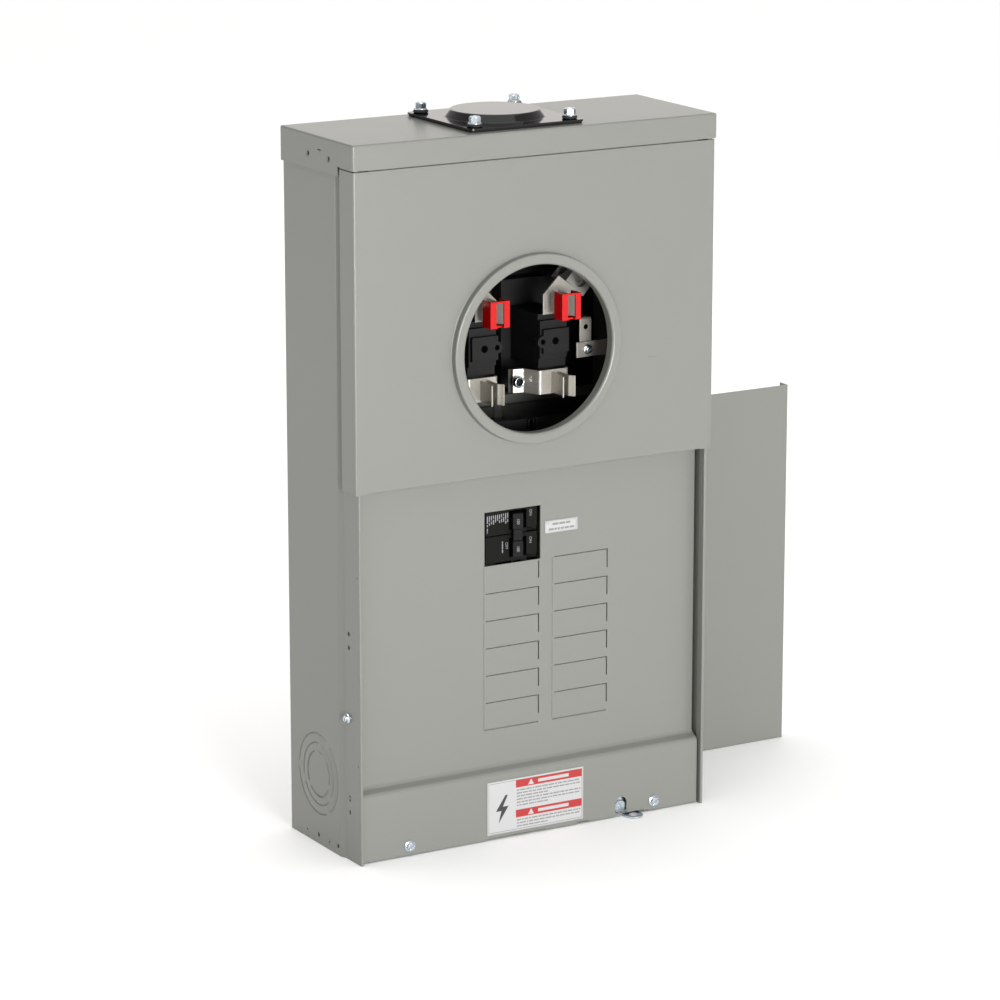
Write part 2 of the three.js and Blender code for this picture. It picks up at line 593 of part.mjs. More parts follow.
// A flat bar drops from the load jaw's pad through the shelf, crosses over and ends in the pole's line lug.
function loadStrap(x, { cross, fall, pole }) {
  const z = SOCKET.mid - SOCKET.rise - 1.3;
  const [thin, wide] = [1.6, 7.5];
  const plane = [depth(74.4), depth(74.4 + thin)];
  const left = x - 36.5;
  const pad = slab([left, left + 13], [depth(49.6), depth(49.6 + thin)], [z - 10.5, z + 11.5]);
  const step = slab([left, left + wide], [depth(49.6), plane[1]], [z - 10.5, z - 10.5 + thin]);
  const drop = slab([left, left + wide], plane, [cross, z - 9]);
  const run = slab([fall, left + wide], plane, [cross, cross + wide]);
  const down = slab([fall, fall + wide], plane, [pole - 2.4, cross + wide]);
  const turn = slab([fall, fall + wide], [depth(LINE_LUG - 0.8), plane[1]], [pole - 2.4, pole - 0.8]);
  const blade = slab(
    [fall, BREAKER.x0 + 9], [depth(LINE_LUG - 0.8), depth(LINE_LUG + 0.8)], [pole - 2.4, pole + 2.4],
  );
  return join(pad, step, drop, run, down, turn, blade);
}

function interiorPan() {
  const tall = [86, 322];
  const plate = slab([-66, 104], [depth(PAN_DEPTH), depth(PAN_DEPTH + 1.6)], tall);
  const feet = [[-66, -64.4], [102.4, 104]].map((xs) => slab(xs, [depth(PAN_DEPTH), depth(127.6)], tall));
  return join(plate, ...feet);
}

function busBase() {
  const [cx, back] = [BUS_CENTRE, depth(PAN_DEPTH - GAP)];
  const plate = slab([cx - 40, cx + 40], [back - 14, back], [92, 312]);
  const ridge = slab([cx - 4, cx + 4], [back - 28, back - 13], [92, 312]);
  return join(plate, ridge);
}

// A bus bar with a comb of stabs that reach forward between the breakers.
function busBar(sign) {
  const back = depth(PAN_DEPTH - GAP - 14 - GAP);
  const [near, far] = [BUS_CENTRE + sign * 6, BUS_CENTRE + sign * 26];
  const bar = slab([Math.min(near, far), Math.max(near, far)], [back - 3, back], [98, 306]);
  const stabs = Array.from({ length: 3 }, (_, i) => {
    const z = TWIST.z0 + (2 * i + (sign > 0 ? 1 : 0) + 0.5) * TWIST.pitch;
    const [a, b] = [BUS_CENTRE + sign * 7, BUS_CENTRE + sign * 9.4];
    return slab([Math.min(a, b), Math.max(a, b)], [back - 24, back - 2], [z - 7, z + 7]);
  });
  return join(bar, ...stabs);
}

// A drilled terminal bar, with a wire hole across it and a screw hole down into it at each station.
function terminalBar(x, z0, count, d) {
  const pitch = 9;
  const length = count * pitch + 8;
  const bar = slab([x - 5, x + 5], [depth(d), depth(d + 11)], [z0, z0 + length]);
  const stations = Array.from({ length: count }, (_, i) => z0 + 8.5 + i * pitch);
  const wires = stations.map((z) => rod('x', 2.3, 14, [x, depth(d + 6.5), z], 8));
  return cut(bar, ...wires);
}

function terminalFoot(x, z0, z1, d) {
  const back = depth(127.6);
  return join(
    slab([x - 5, x + 5], [depth(d), depth(d) + 4], [z0, z1]),
    slab([x - 4, x + 4], [depth(d) + 3, back], [z0 + 4, z0 + 12]),
    slab([x - 4, x + 4], [depth(d) + 3, back], [z1 - 12, z1 - 4]),
  );
}

// ---- main breaker -------------------------------------------------------------------------------------
const HANDLE = { x: -9.5, depth: 24, reach: 15, half: 5.2, tip: 4.7, tall: 14.4, thrown: -16 };

// One pole's moulded case: a long base with a raised face, opened by a well for the handle.
function breakerPole(z) {
  const { x0, x1, face, back } = BREAKER;
  const [z0, z1] = [z - 12.2, z + 12.2];
  const outline = [
    [x0, depth(back)], [x0, depth(face + 16)], [x0 + 12, depth(face + 8)], [x0 + 14, depth(face)],
    [x1 - 8, depth(face)], [x1 - 6, depth(face + 10)], [x1, depth(face + 14)], [x1, depth(back - 14)],
    [x1 - 16, depth(back - 12)], [x1 - 16, depth(back)],
  ].map(([x, y]) => new THREE.Vector2(x, y));
  const well = slab([HANDLE.x - 9, HANDLE.x + 9], [depth(face - 2), depth(face + 15)], [z0 + 3.4, z1 - 3.4]);
  const lugBore = rod('x', 4, 24, [x0, depth(LINE_LUG), z], 12);
  const terminal = rod('y', 3.2, 14, [x0 + 6.5, depth(face + 14), z], 12);
  const step = slab([HANDLE.x + 9, x1], [depth(face - 1), depth(face + 1.6)], [z0 - 1, z0 + 4]);
  return cut(prismZ(outline.toReversed(), [z0, z1]), well, lugBore, terminal, step);
}

// The handles and their tie are drawn upright about the axis they turn on, which runs along z at the bottom
// of the wells, and they stand thrown to the left.
const handles = new THREE.Group();
handles.position.set(HANDLE.x, depth(HANDLE.depth), 0);
handles.rotation.z = THREE.MathUtils.degToRad(HANDLE.thrown);
parts.add(handles);

function breakerHandle(z) {
  const { reach, half, tip, tall } = HANDLE;
  const hub = rod('z', 6.4, tall, [0, 0, z], 20);
  const corners = [[-tip, -reach], [tip, -reach], [half, 0], [-half, 0]];
  const outline = corners.map(([x, y]) => new THREE.Vector2(x, y));
  return join(hub, prismZ(outline, [z - tall / 2, z + tall / 2]));
}

function handleTie() {
  const { mid, pitch } = BREAKER;
  const reach = (pitch - HANDLE.tall) / 2 - GAP;
  return slab([-4.3, 4.3], [0.4 - HANDLE.reach, 5 - HANDLE.reach], [mid - reach, mid + reach]);
}

// ---- assembly -----------------------------------------------------------------------------------------
part('enclosure_body', paint, enclosureBody());
part('top_cap', paint, topCap());
part('bottom_endwall', paint, bottomEndwall());
part('meter_cover', paint, meterCover());
part('dead_front', paint, deadFront());
part('door', paint, door());

part('hub_gasket', rubber, hubGasket());
part('hub_plate', black, hubPlate());
hubBoltCentres().forEach((centre, i) => {
  part(`hub_washer_${i + 1}`, rubber, hubWasher(centre));
  part(`hub_bolt_${i + 1}`, zinc, hubBolt(centre));
});

for (const [name, sign] of Object.entries(SIDES)) {
  const screwFace = depth(DEAD.apron) - GAP;
  part(`dead_front_screw_${name}`, zinc, hexScrew('y', -1, [sign * 129.2, screwFace, 9.8]));
  const railFace = sign * (RAIL_HALF + GAP);
  part(`side_screw_${name}`, zinc, hexScrew('x', sign, [railFace, depth(22.5), 132.5], { hex: 3.4 }));
}
part('padlock_hasp', zinc, padlockHasp());
part('danger_label', label, dangerLabel());
part('service_label', label, serviceLabel());

for (const [name, out] of Object.entries(SIDES)) {
  const x = SOCKET[name];
  part(`jaw_block_${name}`, black, jawBlock(x, -out));
  part(`line_jaw_${name}`, tinned, lineJaw(x, out));
  part(`jaw_guard_${name}`, red, jawGuard(x));
  part(`line_lug_${name}`, alloy, lineLug(x, out));
  part(`line_lug_screw_${name}`, alloy, lugScrew(x, out));
  part(`load_jaw_${name}`, tinned, loadJaw(x));
  part(`load_screw_${name}`, zinc, loadScrew(x));
}
const POLE_Z = [0.5, -0.5].map((step) => BREAKER.mid + step * BREAKER.pitch);
part('load_strap_left', tinned, loadStrap(SOCKET.left, { cross: 332, fall: -84, pole: POLE_Z[1] }));
part('load_strap_right', tinned, loadStrap(SOCKET.right, { cross: 318, fall: -70, pole: POLE_Z[0] }));
part('ground_strap', tinned, groundStrap());
part('ground_tab', tinned, groundTab());
const strapFace = depth(35.4) - GAP;
part('ground_screw', zinc, hexScrew('y', -1, [74, strapFace, SOCKET.mid - 13], { hex: 3.4, reach: 9 }));
part('meter_pan', paint, meterPan());
part('barrier_shelf', black, barrierShelf());

part('interior_pan', paint, interiorPan());
part('bus_base', black, busBase());
part('bus_bar_left', tinned, busBar(-1));
part('bus_bar_right', tinned, busBar(1));
part('neutral_bar', alloy, terminalBar(150, 120, 18, 84));
part('neutral_stand', black, terminalFoot(150, 120, 290, 95 + GAP));
part('ground_bar', alloy, terminalBar(-150, 120, 12, 96));
part('ground_bar_stand', alloy, terminalFoot(-150, 120, 236, 107 + GAP));

['upper', 'lower'].forEach((name, i) => {
  part(`main_pole_${name}`, black, breakerPole(POLE_Z[i]));
  part(`main_handle_${name}`, black, breakerHandle(POLE_Z[i]), handles);
});
part('handle_tie', black, handleTie(), handles);

export default parts;
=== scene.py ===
import math

import bmesh
import bpy
from mathutils import Matrix, Vector
from mathutils.geometry import delaunay_2d_cdt


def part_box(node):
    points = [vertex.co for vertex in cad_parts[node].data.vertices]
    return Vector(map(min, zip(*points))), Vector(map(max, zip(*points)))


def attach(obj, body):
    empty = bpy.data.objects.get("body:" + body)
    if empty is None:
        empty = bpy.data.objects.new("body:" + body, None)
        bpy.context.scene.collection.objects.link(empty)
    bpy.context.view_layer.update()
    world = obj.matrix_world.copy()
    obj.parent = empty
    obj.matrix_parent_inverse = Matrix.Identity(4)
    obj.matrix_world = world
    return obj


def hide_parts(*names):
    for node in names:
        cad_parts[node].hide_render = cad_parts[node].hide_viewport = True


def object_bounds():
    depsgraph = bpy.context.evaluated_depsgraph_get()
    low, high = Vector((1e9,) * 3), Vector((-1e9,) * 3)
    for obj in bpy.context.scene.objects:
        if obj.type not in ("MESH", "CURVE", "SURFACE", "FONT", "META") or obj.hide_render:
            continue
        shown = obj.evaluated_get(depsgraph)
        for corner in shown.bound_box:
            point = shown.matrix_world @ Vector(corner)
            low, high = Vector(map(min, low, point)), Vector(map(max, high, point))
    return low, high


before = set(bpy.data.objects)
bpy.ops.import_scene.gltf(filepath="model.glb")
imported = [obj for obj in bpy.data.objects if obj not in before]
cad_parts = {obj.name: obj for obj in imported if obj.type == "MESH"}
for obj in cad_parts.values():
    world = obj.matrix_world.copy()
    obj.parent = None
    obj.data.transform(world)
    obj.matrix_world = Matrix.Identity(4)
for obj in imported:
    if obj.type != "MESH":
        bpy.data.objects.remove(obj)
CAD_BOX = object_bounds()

MM = 0.001
BODY_LOW, BODY_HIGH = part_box("enclosure_body")
UNDERSIDE = BODY_LOW.z / MM
RAIL_FRONT = BODY_LOW.y / MM
BODY_HALF = BODY_HIGH.x / MM
BODY_TOP = (BODY_HIGH.z - BODY_LOW.z) / MM
SHEET = 1.4


def depth(d):
    """The y of a depth behind the rail fronts."""
    return RAIL_FRONT + d


def reach(node):
    """Lowest and highest corner of a CAD node in this script's millimetres."""
    lift = Vector((0, 0, UNDERSIDE))
    return tuple(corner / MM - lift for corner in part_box(node))


# ---- materials ----------------------------------------------------------------------------------------
def mottled(name, base, rough, metal=0.0, *, mottle, grain, spread=0.06, stretch=(1, 1, 1), **sockets):
    """A surface that drifts in colour and roughness over a fine relief.

    mottle is (scale, part of the colour), grain is (scale, height in metres), and spread is the drift of
    roughness. sockets are further inputs of the shader, with _ for a space.
    """
    material = bpy.data.materials.new(name)
    material.use_nodes = True
    nodes, links = material.node_tree.nodes, material.node_tree.links
    shader = nodes["Principled BSDF"]
    shader.inputs["Metallic"].default_value = metal
    for socket, value in sockets.items():
        shader.inputs[socket.replace("_", " ")].default_value = value
    place = nodes.new("ShaderNodeTexCoord")
    stretched = nodes.new("ShaderNodeMapping")
    stretched.inputs["Scale"].default_value = stretch
    links.new(place.outputs["Object"], stretched.inputs["Vector"])

    def noise(scale, detail, roughness):
        texture = nodes.new("ShaderNodeTexNoise")
        texture.inputs["Scale"].default_value = scale
        texture.inputs["Detail"].default_value = detail
        texture.inputs["Roughness"].default_value = roughness
        links.new(stretched.outputs["Vector"], texture.inputs["Vector"])
        return texture.outputs["Fac"]

    drift = noise(mottle[0], 3.0, 0.6)
    blend = nodes.new("ShaderNodeMix")
    blend.data_type = "RGBA"
    blend.inputs["A"].default_value = (*[c * (1 - mottle[1]) for c in base], 1)
    blend.inputs["B"].default_value = (*[min(1, c * (1 + mottle[1])) for c in base], 1)
    links.new(drift, blend.inputs["Factor"])
    links.new(blend.outputs["Result"], shader.inputs["Base Color"])

    patches = noise(mottle[0] * 4, 4.0, 0.7)
    spread_node = nodes.new("ShaderNodeMapRange")
    spread_node.inputs["To Min"].default_value = rough - spread
    spread_node.inputs["To Max"].default_value = rough + spread
    links.new(patches, spread_node.inputs["Value"])
    links.new(spread_node.outputs["Result"], shader.inputs["Roughness"])

    relief = nodes.new("ShaderNodeBump")
    relief.inputs["Strength"].default_value = 1.0
    relief.inputs["Distance"].default_value = grain[1]
    links.new(noise(grain[0], 2.0, 0.5), relief.inputs["Height"])
    links.new(relief.outputs["Normal"], shader.inputs["Normal"])
    return material


PAINT = mottled("grey_powder_coat", (0.153, 0.157, 0.143), 0.295, mottle=(9, 0.012), grain=(700, 0.000004),
                spread=0.015)
BLACK_ENAMEL = mottled("black_enamel", (0.0025, 0.0022, 0.0020), 0.1, mottle=(30, 0.2), grain=(200, 0.000003),
                       spread=0.03, Specular_IOR_Level=0.35)
RUBBER = mottled("sealing_rubber", (0.008, 0.008, 0.008), 0.7, mottle=(200, 0.2), grain=(1500, 0.00004))
ZINC = mottled("zinc_plate", (0.58, 0.64, 0.70), 0.22, 1.0, mottle=(220, 0.15), grain=(1300, 0.00003),
               spread=0.1)
THERMOSET = mottled("black_thermoset", (0.0070, 0.0067, 0.0067), 0.5, mottle=(160, 0.25),
                    grain=(1800, 0.00003), Specular_IOR_Level=0.15)
SHELF = mottled("ribbed_shelf", (0.012, 0.012, 0.0125), 0.3, mottle=(40, 0.3), grain=(500, 0.00003),
                spread=0.02)
CASE = mottled("breaker_case", (0.0050, 0.0050, 0.0042), 0.55, mottle=(120, 0.2), grain=(2200, 0.00003),
               Specular_IOR_Level=0.08)
LEVER = mottled("breaker_lever", (0.0016, 0.0016, 0.0015), 0.6, mottle=(150, 0.2), grain=(1600, 0.00002),
                Specular_IOR_Level=0.14)
TIN = mottled("tin_plate", (0.36, 0.34, 0.305), 0.36, 0.65, mottle=(150, 0.16), grain=(500, 0.00004),
              spread=0.07, stretch=(1, 1, 6))
# near-black load straps: painted shade where the straps run down in shadow below the jaws
STRAP_PAINTED_SHADE = mottled("strap_painted_shade", (0.010, 0.010, 0.010), 0.4, mottle=(80, 0.2), grain=(900, 0.00003),
                 spread=0.1)
LUG = mottled("lug_alloy", (0.27, 0.265, 0.25), 0.40, 0.45, mottle=(180, 0.12), grain=(1000, 0.00003),
              spread=0.1)
RED = mottled("red_guard", (0.40, 0.0016, 0.0024), 0.24, mottle=(90, 0.1), grain=(900, 0.00002),
              Specular_IOR_Level=0.3)
LABEL = mottled("label_stock", (0.345, 0.35, 0.35), 0.5, mottle=(60, 0.02), grain=(2500, 0.00001))
INK_RED = mottled("label_red", (0.30, 0.012, 0.014), 0.45, mottle=(80, 0.05), grain=(2500, 0.00001))
INK_BLACK = mottled("label_black", (0.020, 0.019, 0.018), 0.5, mottle=(80, 0.1), grain=(2500, 0.00001))
INK_GREY = mottled("label_grey", (0.16, 0.16, 0.16), 0.5, mottle=(80, 0.1), grain=(2500, 0.00001))
INK_WHITE = mottled("pad_print", (0.19, 0.19, 0.215), 0.5, mottle=(300, 0.15), grain=(2500, 0.00001))


# ---- skins and solids ---------------------------------------------------------------------------------
class Skin:
    """Faces in millimetres, with shared corners. Corners drawn while fine is set are never fold lines."""

    def __init__(self):
        self.bm = bmesh.new()
        self.corners = {}
        self.fine = False
        self.fine_corners = set()

    def corner(self, point):
        """The vertex at a point, to the nearest micrometre."""
        key = tuple(round(c, 3) + 0.0 for c in point)
        if key not in self.corners:
            self.corners[key] = self.bm.verts.new(key)
        if self.fine:
            self.fine_corners.add(self.corners[key])
        return self.corners[key]

    def face(self, points, ink=0):
        """A face through the points, unless it has collapsed or is there already."""
        corners = list(dict.fromkeys(self.corner(p) for p in points))
        if len(corners) < 3 or self.bm.faces.get(corners):
            return
        made = self.bm.faces.new(corners)
        made.material_index = ink
        made.smooth = True

    def grid(self, rows, wrap=False):
        """Quads between rows of points; wrap also joins each row's end to its start."""
        for lower, upper in zip(rows, rows[1:]):
            count = len(lower)
            for i in range(count if wrap else count - 1):
                j = (i + 1) % count
                self.face([lower[i], lower[j], upper[j], upper[i]])

    def region(self, place, outer, cuts, inks=()):
        """The flat area inside outer, less the cuts. place makes (u, v) a point; inks are (outline, ink)."""
        outlines = [outer, *cuts, *(outline for outline, _ in inks)]
        points, loops = [], []
        for outline in outlines:
            loops.append(list(range(len(points), len(points) + len(outline))))
            points += [Vector(p) for p in anticlockwise(outline)]
        flat, _, triangles, _, _, sources = delaunay_2d_cdt(points, [], loops, 0, 1e-5)
        for triangle, source in zip(triangles, sources):
            if 0 not in source or any(1 <= k <= len(cuts) for k in source):
                continue
            top = max(source)
            ink = inks[top - 1 - len(cuts)][1] if top > len(cuts) else 0
            self.face([place(*flat[i]) for i in triangle], ink)

    def panel(self, place, us, vs, cuts=()):
        """A rectangle split at four us and four vs, with the cuts inside its middle cell."""
        for i in range(3):
            for j in range(3):
                cell = [(us[i], vs[j]), (us[i + 1], vs[j]), (us[i + 1], vs[j + 1]), (us[i], vs[j + 1])]
                if i == j == 1:
                    self.region(place, cell, cuts)
                else:
                    self.face([place(*p) for p in cell])

    def mark_folds(self):
        """Weighs the edges where the sheet turns by over 12 degrees, but not in fine details, for a bevel."""
        self.bm.normal_update()
        weight = self.bm.edges.layers.float.new("bevel_weight_edge")
        for edge in self.bm.edges:
            if len(edge.link_faces) == 2 and not self.fine_corners.intersection(edge.verts):
                edge[weight] = float(edge.calc_face_angle() > math.radians(12))

    def towards(self, direction):
        """Turns every face so that the largest looks along direction."""
        bmesh.ops.recalc_face_normals(self.bm, faces=self.bm.faces[:])
        largest = max(self.bm.faces, key=lambda f: f.calc_area())
        if largest.normal.dot(Vector(direction)) < 0:
            bmesh.ops.reverse_faces(self.bm, faces=self.bm.faces[:])


def anticlockwise(outline):
    """The outline, turned round if it runs clockwise."""
    area = sum(a[0] * b[1] - b[0] * a[1] for a, b in zip(outline, [*outline[1:], outline[0]]))
    return list(outline) if area > 0 else list(reversed(outline))


def splits(low, high, border):
    """The four places that split a length into a border, a middle and a border."""
    return [low, low + border, high - border, high]


def circle(u, v, radius, count):
    return [(u + radius * math.cos(t), v + radius * math.sin(t))
            for t in (2 * math.pi * i / count for i in range(count))]


def rectangle(u0, u1, v0, v1):
    return [(u0, v0), (u1, v0), (u1, v1), (u0, v1)]


def rounded(path, radii, steps):
    """An open path of 2D points whose inner corners are rounded to radii."""
    points = [Vector(p) for p in path]
    out = [points[0]]
    for before, at, after, radius in zip(points, points[1:], points[2:], radii):
        a, b = (before - at).normalized(), (after - at).normalized()
        half = a.angle(b) / 2
        centre = at + (a + b).normalized() * (radius / math.sin(half))
        start = at + a * (radius / math.tan(half))
        end = at + b * (radius / math.tan(half))
        turn = (start - centre).angle_signed(end - centre)
        for k in range(steps + 1):
            out.append(centre + Matrix.Rotation(-turn * k / steps, 2) @ (start - centre))
    out.append(points[-1])
    return out


TO_METRES = Matrix.Scale(MM, 4) @ Matrix.Translation((0, 0, UNDERSIDE))


def linked(name, data):
    """An object for the data, in the scene."""
    obj = bpy.data.objects.new(name, data)
    bpy.context.scene.collection.objects.link(obj)
    return obj


def new_object(name, bm, materials):
    """A mesh object in metres in the CAD's frame, from millimetres above the underside."""
    bmesh.ops.transform(bm, matrix=TO_METRES, verts=bm.verts[:])
    mesh = bpy.data.meshes.new(name)
    bm.to_mesh(mesh)
    bm.free()
    for material in materials:
        mesh.materials.append(material)
    return linked(name, mesh)


def put(obj, centre, turn):
    """Turns a piece drawn at the origin and moves it to centre."""
    obj.data.transform(Matrix.Translation((0, 0, -UNDERSIDE * MM)))
    x, y, z = centre
    obj.data.transform(Matrix.Translation((x * MM, y * MM, (z + UNDERSIDE) * MM)) @ turn)


def soften(obj, width, segments, angle):
    """Rounds the edges sharper than angle, in degrees, by width."""
    bevel = obj.modifiers.new("edges", "BEVEL")
    bevel.width = width * MM
    bevel.segments = segments
    bevel.limit_method = "ANGLE"
    bevel.angle_limit = math.radians(angle)
    normals = obj.modifiers.new("shading", "WEIGHTED_NORMAL")
    normals.keep_sharp = True


def belongs(obj, body, slot, *nodes):
    """Puts a piece on a CAD body, in place of CAD nodes if any are given."""
    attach(obj, body)
    if nodes:
        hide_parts(*nodes)


def sheet_metal(name, skin, body, *nodes, fold, thickness=SHEET, material=PAINT, slot="grey_paint"):
    """A skin with its folds rounded, thickened inwards."""
    skin.mark_folds()
    obj = new_object(name, skin.bm, [material])
    if fold:
        bend = obj.modifiers.new("folds", "BEVEL")
        bend.width = fold * MM
        bend.segments = 5
        bend.limit_method = "WEIGHT"
    solid = obj.modifiers.new("thickness", "SOLIDIFY")
    solid.thickness = thickness * MM
    solid.offset = -1
    solid.use_even_offset = True
    rims = obj.modifiers.new("rims", "EDGE_SPLIT")
    rims.split_angle = math.radians(40)
    normals = obj.modifiers.new("shading", "WEIGHTED_NORMAL")
    normals.keep_sharp = True
    belongs(obj, body, slot, *nodes)


# ---- solids -------------------------------------------------------------------------------------------
def box_bm(x, y, z):
    """A box between two values of x, of y and of z."""
    bm = bmesh.new()
    size = Matrix.Diagonal((x[1] - x[0], y[1] - y[0], z[1] - z[0], 1))
    centre = Matrix.Translation((sum(x) / 2, sum(y) / 2, sum(z) / 2))
    bmesh.ops.create_cube(bm, size=1, matrix=centre @ size)
    return bm


# turns a shape drawn along z so that it runs along the named axis
ALONG = {"x": Matrix.Rotation(math.pi / 2, 4, "Y"), "y": Matrix.Rotation(-math.pi / 2, 4, "X"),
         "z": Matrix.Identity(4)}


def turned(profile, centre=(0, 0, 0), axis="z", count=40):
    """A closed solid of revolution; profile is (radius, height along axis), from its start to its end."""
    skin = Skin()
    rows = [[(r * math.cos(t), r * math.sin(t), h) for t in (2 * math.pi * i / count for i in range(count))]
            for r, h in profile]
    skin.grid(rows, wrap=True)
    skin.face(rows[0])
    skin.face(rows[-1])
    bmesh.ops.recalc_face_normals(skin.bm, faces=skin.bm.faces[:])
    bmesh.ops.transform(skin.bm, matrix=Matrix.Translation(centre) @ ALONG[axis], verts=skin.bm.verts[:])
    return skin.bm


def extruded(outline, low, high, plane="xy"):
    """A closed prism; plane, xy or xz, says which two axes the outline is drawn in."""
    def point(u, v, w):
        return (u, v, w) if plane == "xy" else (u, w, v)
    skin = Skin()
    skin.grid([[point(u, v, w) for u, v in outline] for w in (low, high)], wrap=True)
    skin.face([point(u, v, low) for u, v in outline])
    skin.face([point(u, v, high) for u, v in outline])
    bmesh.ops.recalc_face_normals(skin.bm, faces=skin.bm.faces[:])
    return skin.bm


def evaluated(obj):
    """A new mesh of the object as its modifiers leave it."""
    bpy.context.view_layer.update()
    return bpy.data.meshes.new_from_object(obj.evaluated_get(bpy.context.evaluated_depsgraph_get()))


def made_of(name, first, materials, joined, cut=()):
    """One solid from bmeshes: first, joined to some and cut by others."""
    obj = new_object(name, first, materials)
    tools = []
    for operation, group in (("UNION", joined), ("DIFFERENCE", cut)):
        for bm in group:
            tool = new_object(f"{name}_tool", bm, [])
            tools.append(tool)
            boolean = obj.modifiers.new("shape", "BOOLEAN")
            boolean.operation = operation
            boolean.solver = "EXACT"
            boolean.object = tool
    shaped = evaluated(obj)
    obj.modifiers.clear()
    obj.data = shaped
    for tool in tools:
        bpy.data.objects.remove(tool)
    for polygon in obj.data.polygons:
        polygon.use_smooth = True
    return obj


# ---- enclosure ----------------------------------------------------------------------------------------
RAIL_HALF = 180.7
HEM = (2.7, 8)  # the folded edge's width and depth
JOGGLE = (28, 34)  # the depths where the side steps out
KNOCKOUT = {"depth": 76, "z": 66.3, "radii": (37.3, 28.6, 21), "border": 1.4, "sunk": 1, "width": 1}
RAIL_SCREW = (22.5, 132.5)  # depth and z
RAIL_OVAL = {"depth": 20.58, "z": 45.24, "half": (1.52, 2.28)}
# depth, z, radius and corners of the round holes in each rail
RAIL_HOLES = ((20.6, 210.4, 2.1, 16), (20.6, 197.9, 2.1, 16), (20.6, 59.9, 1.3, 16), (20.6, 56.6, 1.3, 16))
RAIL_PRICKS = ((*RAIL_SCREW, 2.4, 16), (4.2, 92, 0.8, 12), (4.2, 265, 0.8, 12))
RIVETS = {"depths": (76.6, 39.5), "z": 8.6, "radius": 2.1}
WELDS = {"depths": (98.3, 55.8), "z": 7.6, "radius": 1.1}
WALL_HOLES = {"places": ((0, 600), (-140, 330), (140, 330), (-140, 40), (140, 40)), "radius": 3.6}
Z_SPLITS = splits(0, BODY_TOP, 5)


def knockout(skin, place):
    """Concentric rings pressed into a side, each left standing at three ties; returns the area they take."""
    u, v, radii, sunk, width = (KNOCKOUT[key] for key in ("depth", "z", "radii", "sunk", "width"))
    count = 96

    def row(radius, low, phase):
        out = []
        for i in range(count):
            t = 2 * math.pi * i / count
            tied = math.cos(3 * t + phase) > 0.93
            out.append(place(u + radius * math.cos(t), v + radius * math.sin(t), 0 if tied else low))
        return out
    outer = radii[0] + KNOCKOUT["border"]
    skin.fine = True
    rows = [row(outer, 0, 0)]
    for i, radius in enumerate(radii):
        rows += [row(radius + width, 0, i), row(radius + width * 0.2, sunk, i),
                 row(radius - width, sunk * 0.3, i)]
    rows.append(row(radii[-1] - 2 * width, 0, 0))
    skin.grid(rows, wrap=True)
    skin.face(rows[-1])
    skin.fine = False
    return circle(u, v, outer, count)


def enclosure_shell():
    """The back and both sides in one sheet, each side stepped in to a rail with a folded front edge."""
    skin = Skin()
    half_width, half_height = RAIL_OVAL["half"]
    oval = [(RAIL_OVAL["depth"] + half_width * u, RAIL_OVAL["z"] + half_height * v)
            for u, v in circle(0, 0, 1, 16)]
    holes = [*(circle(*hole) for hole in RAIL_HOLES), oval, *(circle(*hole) for hole in RAIL_PRICKS)]
    hem_half = RAIL_HALF - HEM[0]
    for sign in (-1, 1):
        def side(d, z, low=0.0, sign=sign):
            return (sign * (BODY_HALF - low), depth(d), z)

        def rail(d, z, sign=sign):
            return (sign * RAIL_HALF, depth(d), z)
        path = [(hem_half, HEM[1]), (hem_half, 0), (RAIL_HALF, 0)]
        skin.grid([[(sign * x, depth(d), z) for z in Z_SPLITS] for x, d in path])
        skin.panel(rail, splits(0, JOGGLE[0], 3), Z_SPLITS, holes)
        skin.grid([[(sign * x, depth(d), z) for z in Z_SPLITS]
                   for x, d in ((RAIL_HALF, JOGGLE[0]), (BODY_HALF, JOGGLE[1]))])
        ring = knockout(skin, side)
        rivets = [circle(d, RIVETS["z"], RIVETS["radius"], 16) for d in RIVETS["depths"]]
        welds = [circle(d, WELDS["z"], WELDS["radius"], 12) for d in WELDS["depths"]]
        skin.panel(side, splits(JOGGLE[1], -RAIL_FRONT, 2.6), Z_SPLITS, [ring, *rivets, *welds])
    wall_holes = [circle(x, z, WALL_HOLES["radius"], 20) for x, z in WALL_HOLES["places"]]
    skin.panel(lambda x, z: (x, 0, z), splits(-BODY_HALF, BODY_HALF, 5), Z_SPLITS, wall_holes)
    skin.towards((0, 1, 0))
    sheet_metal("enclosure_shell", skin, "enclosure", "enclosure_body", fold=1.2, thickness=1.2)


CAP = {"half": 185.3, "top": 648.5, "front": -2.9, "skirt": 30.5, "flange": 22.5, "slit": (20.5, 25.8),
       "strip": 8}
DIMPLES = {"depths": (79.7, 41.7), "z": 631.2, "radius": 3.4}
CAP_SLOT = {"depths": (54.6, 61.2), "z": (636.3, 637.3)}


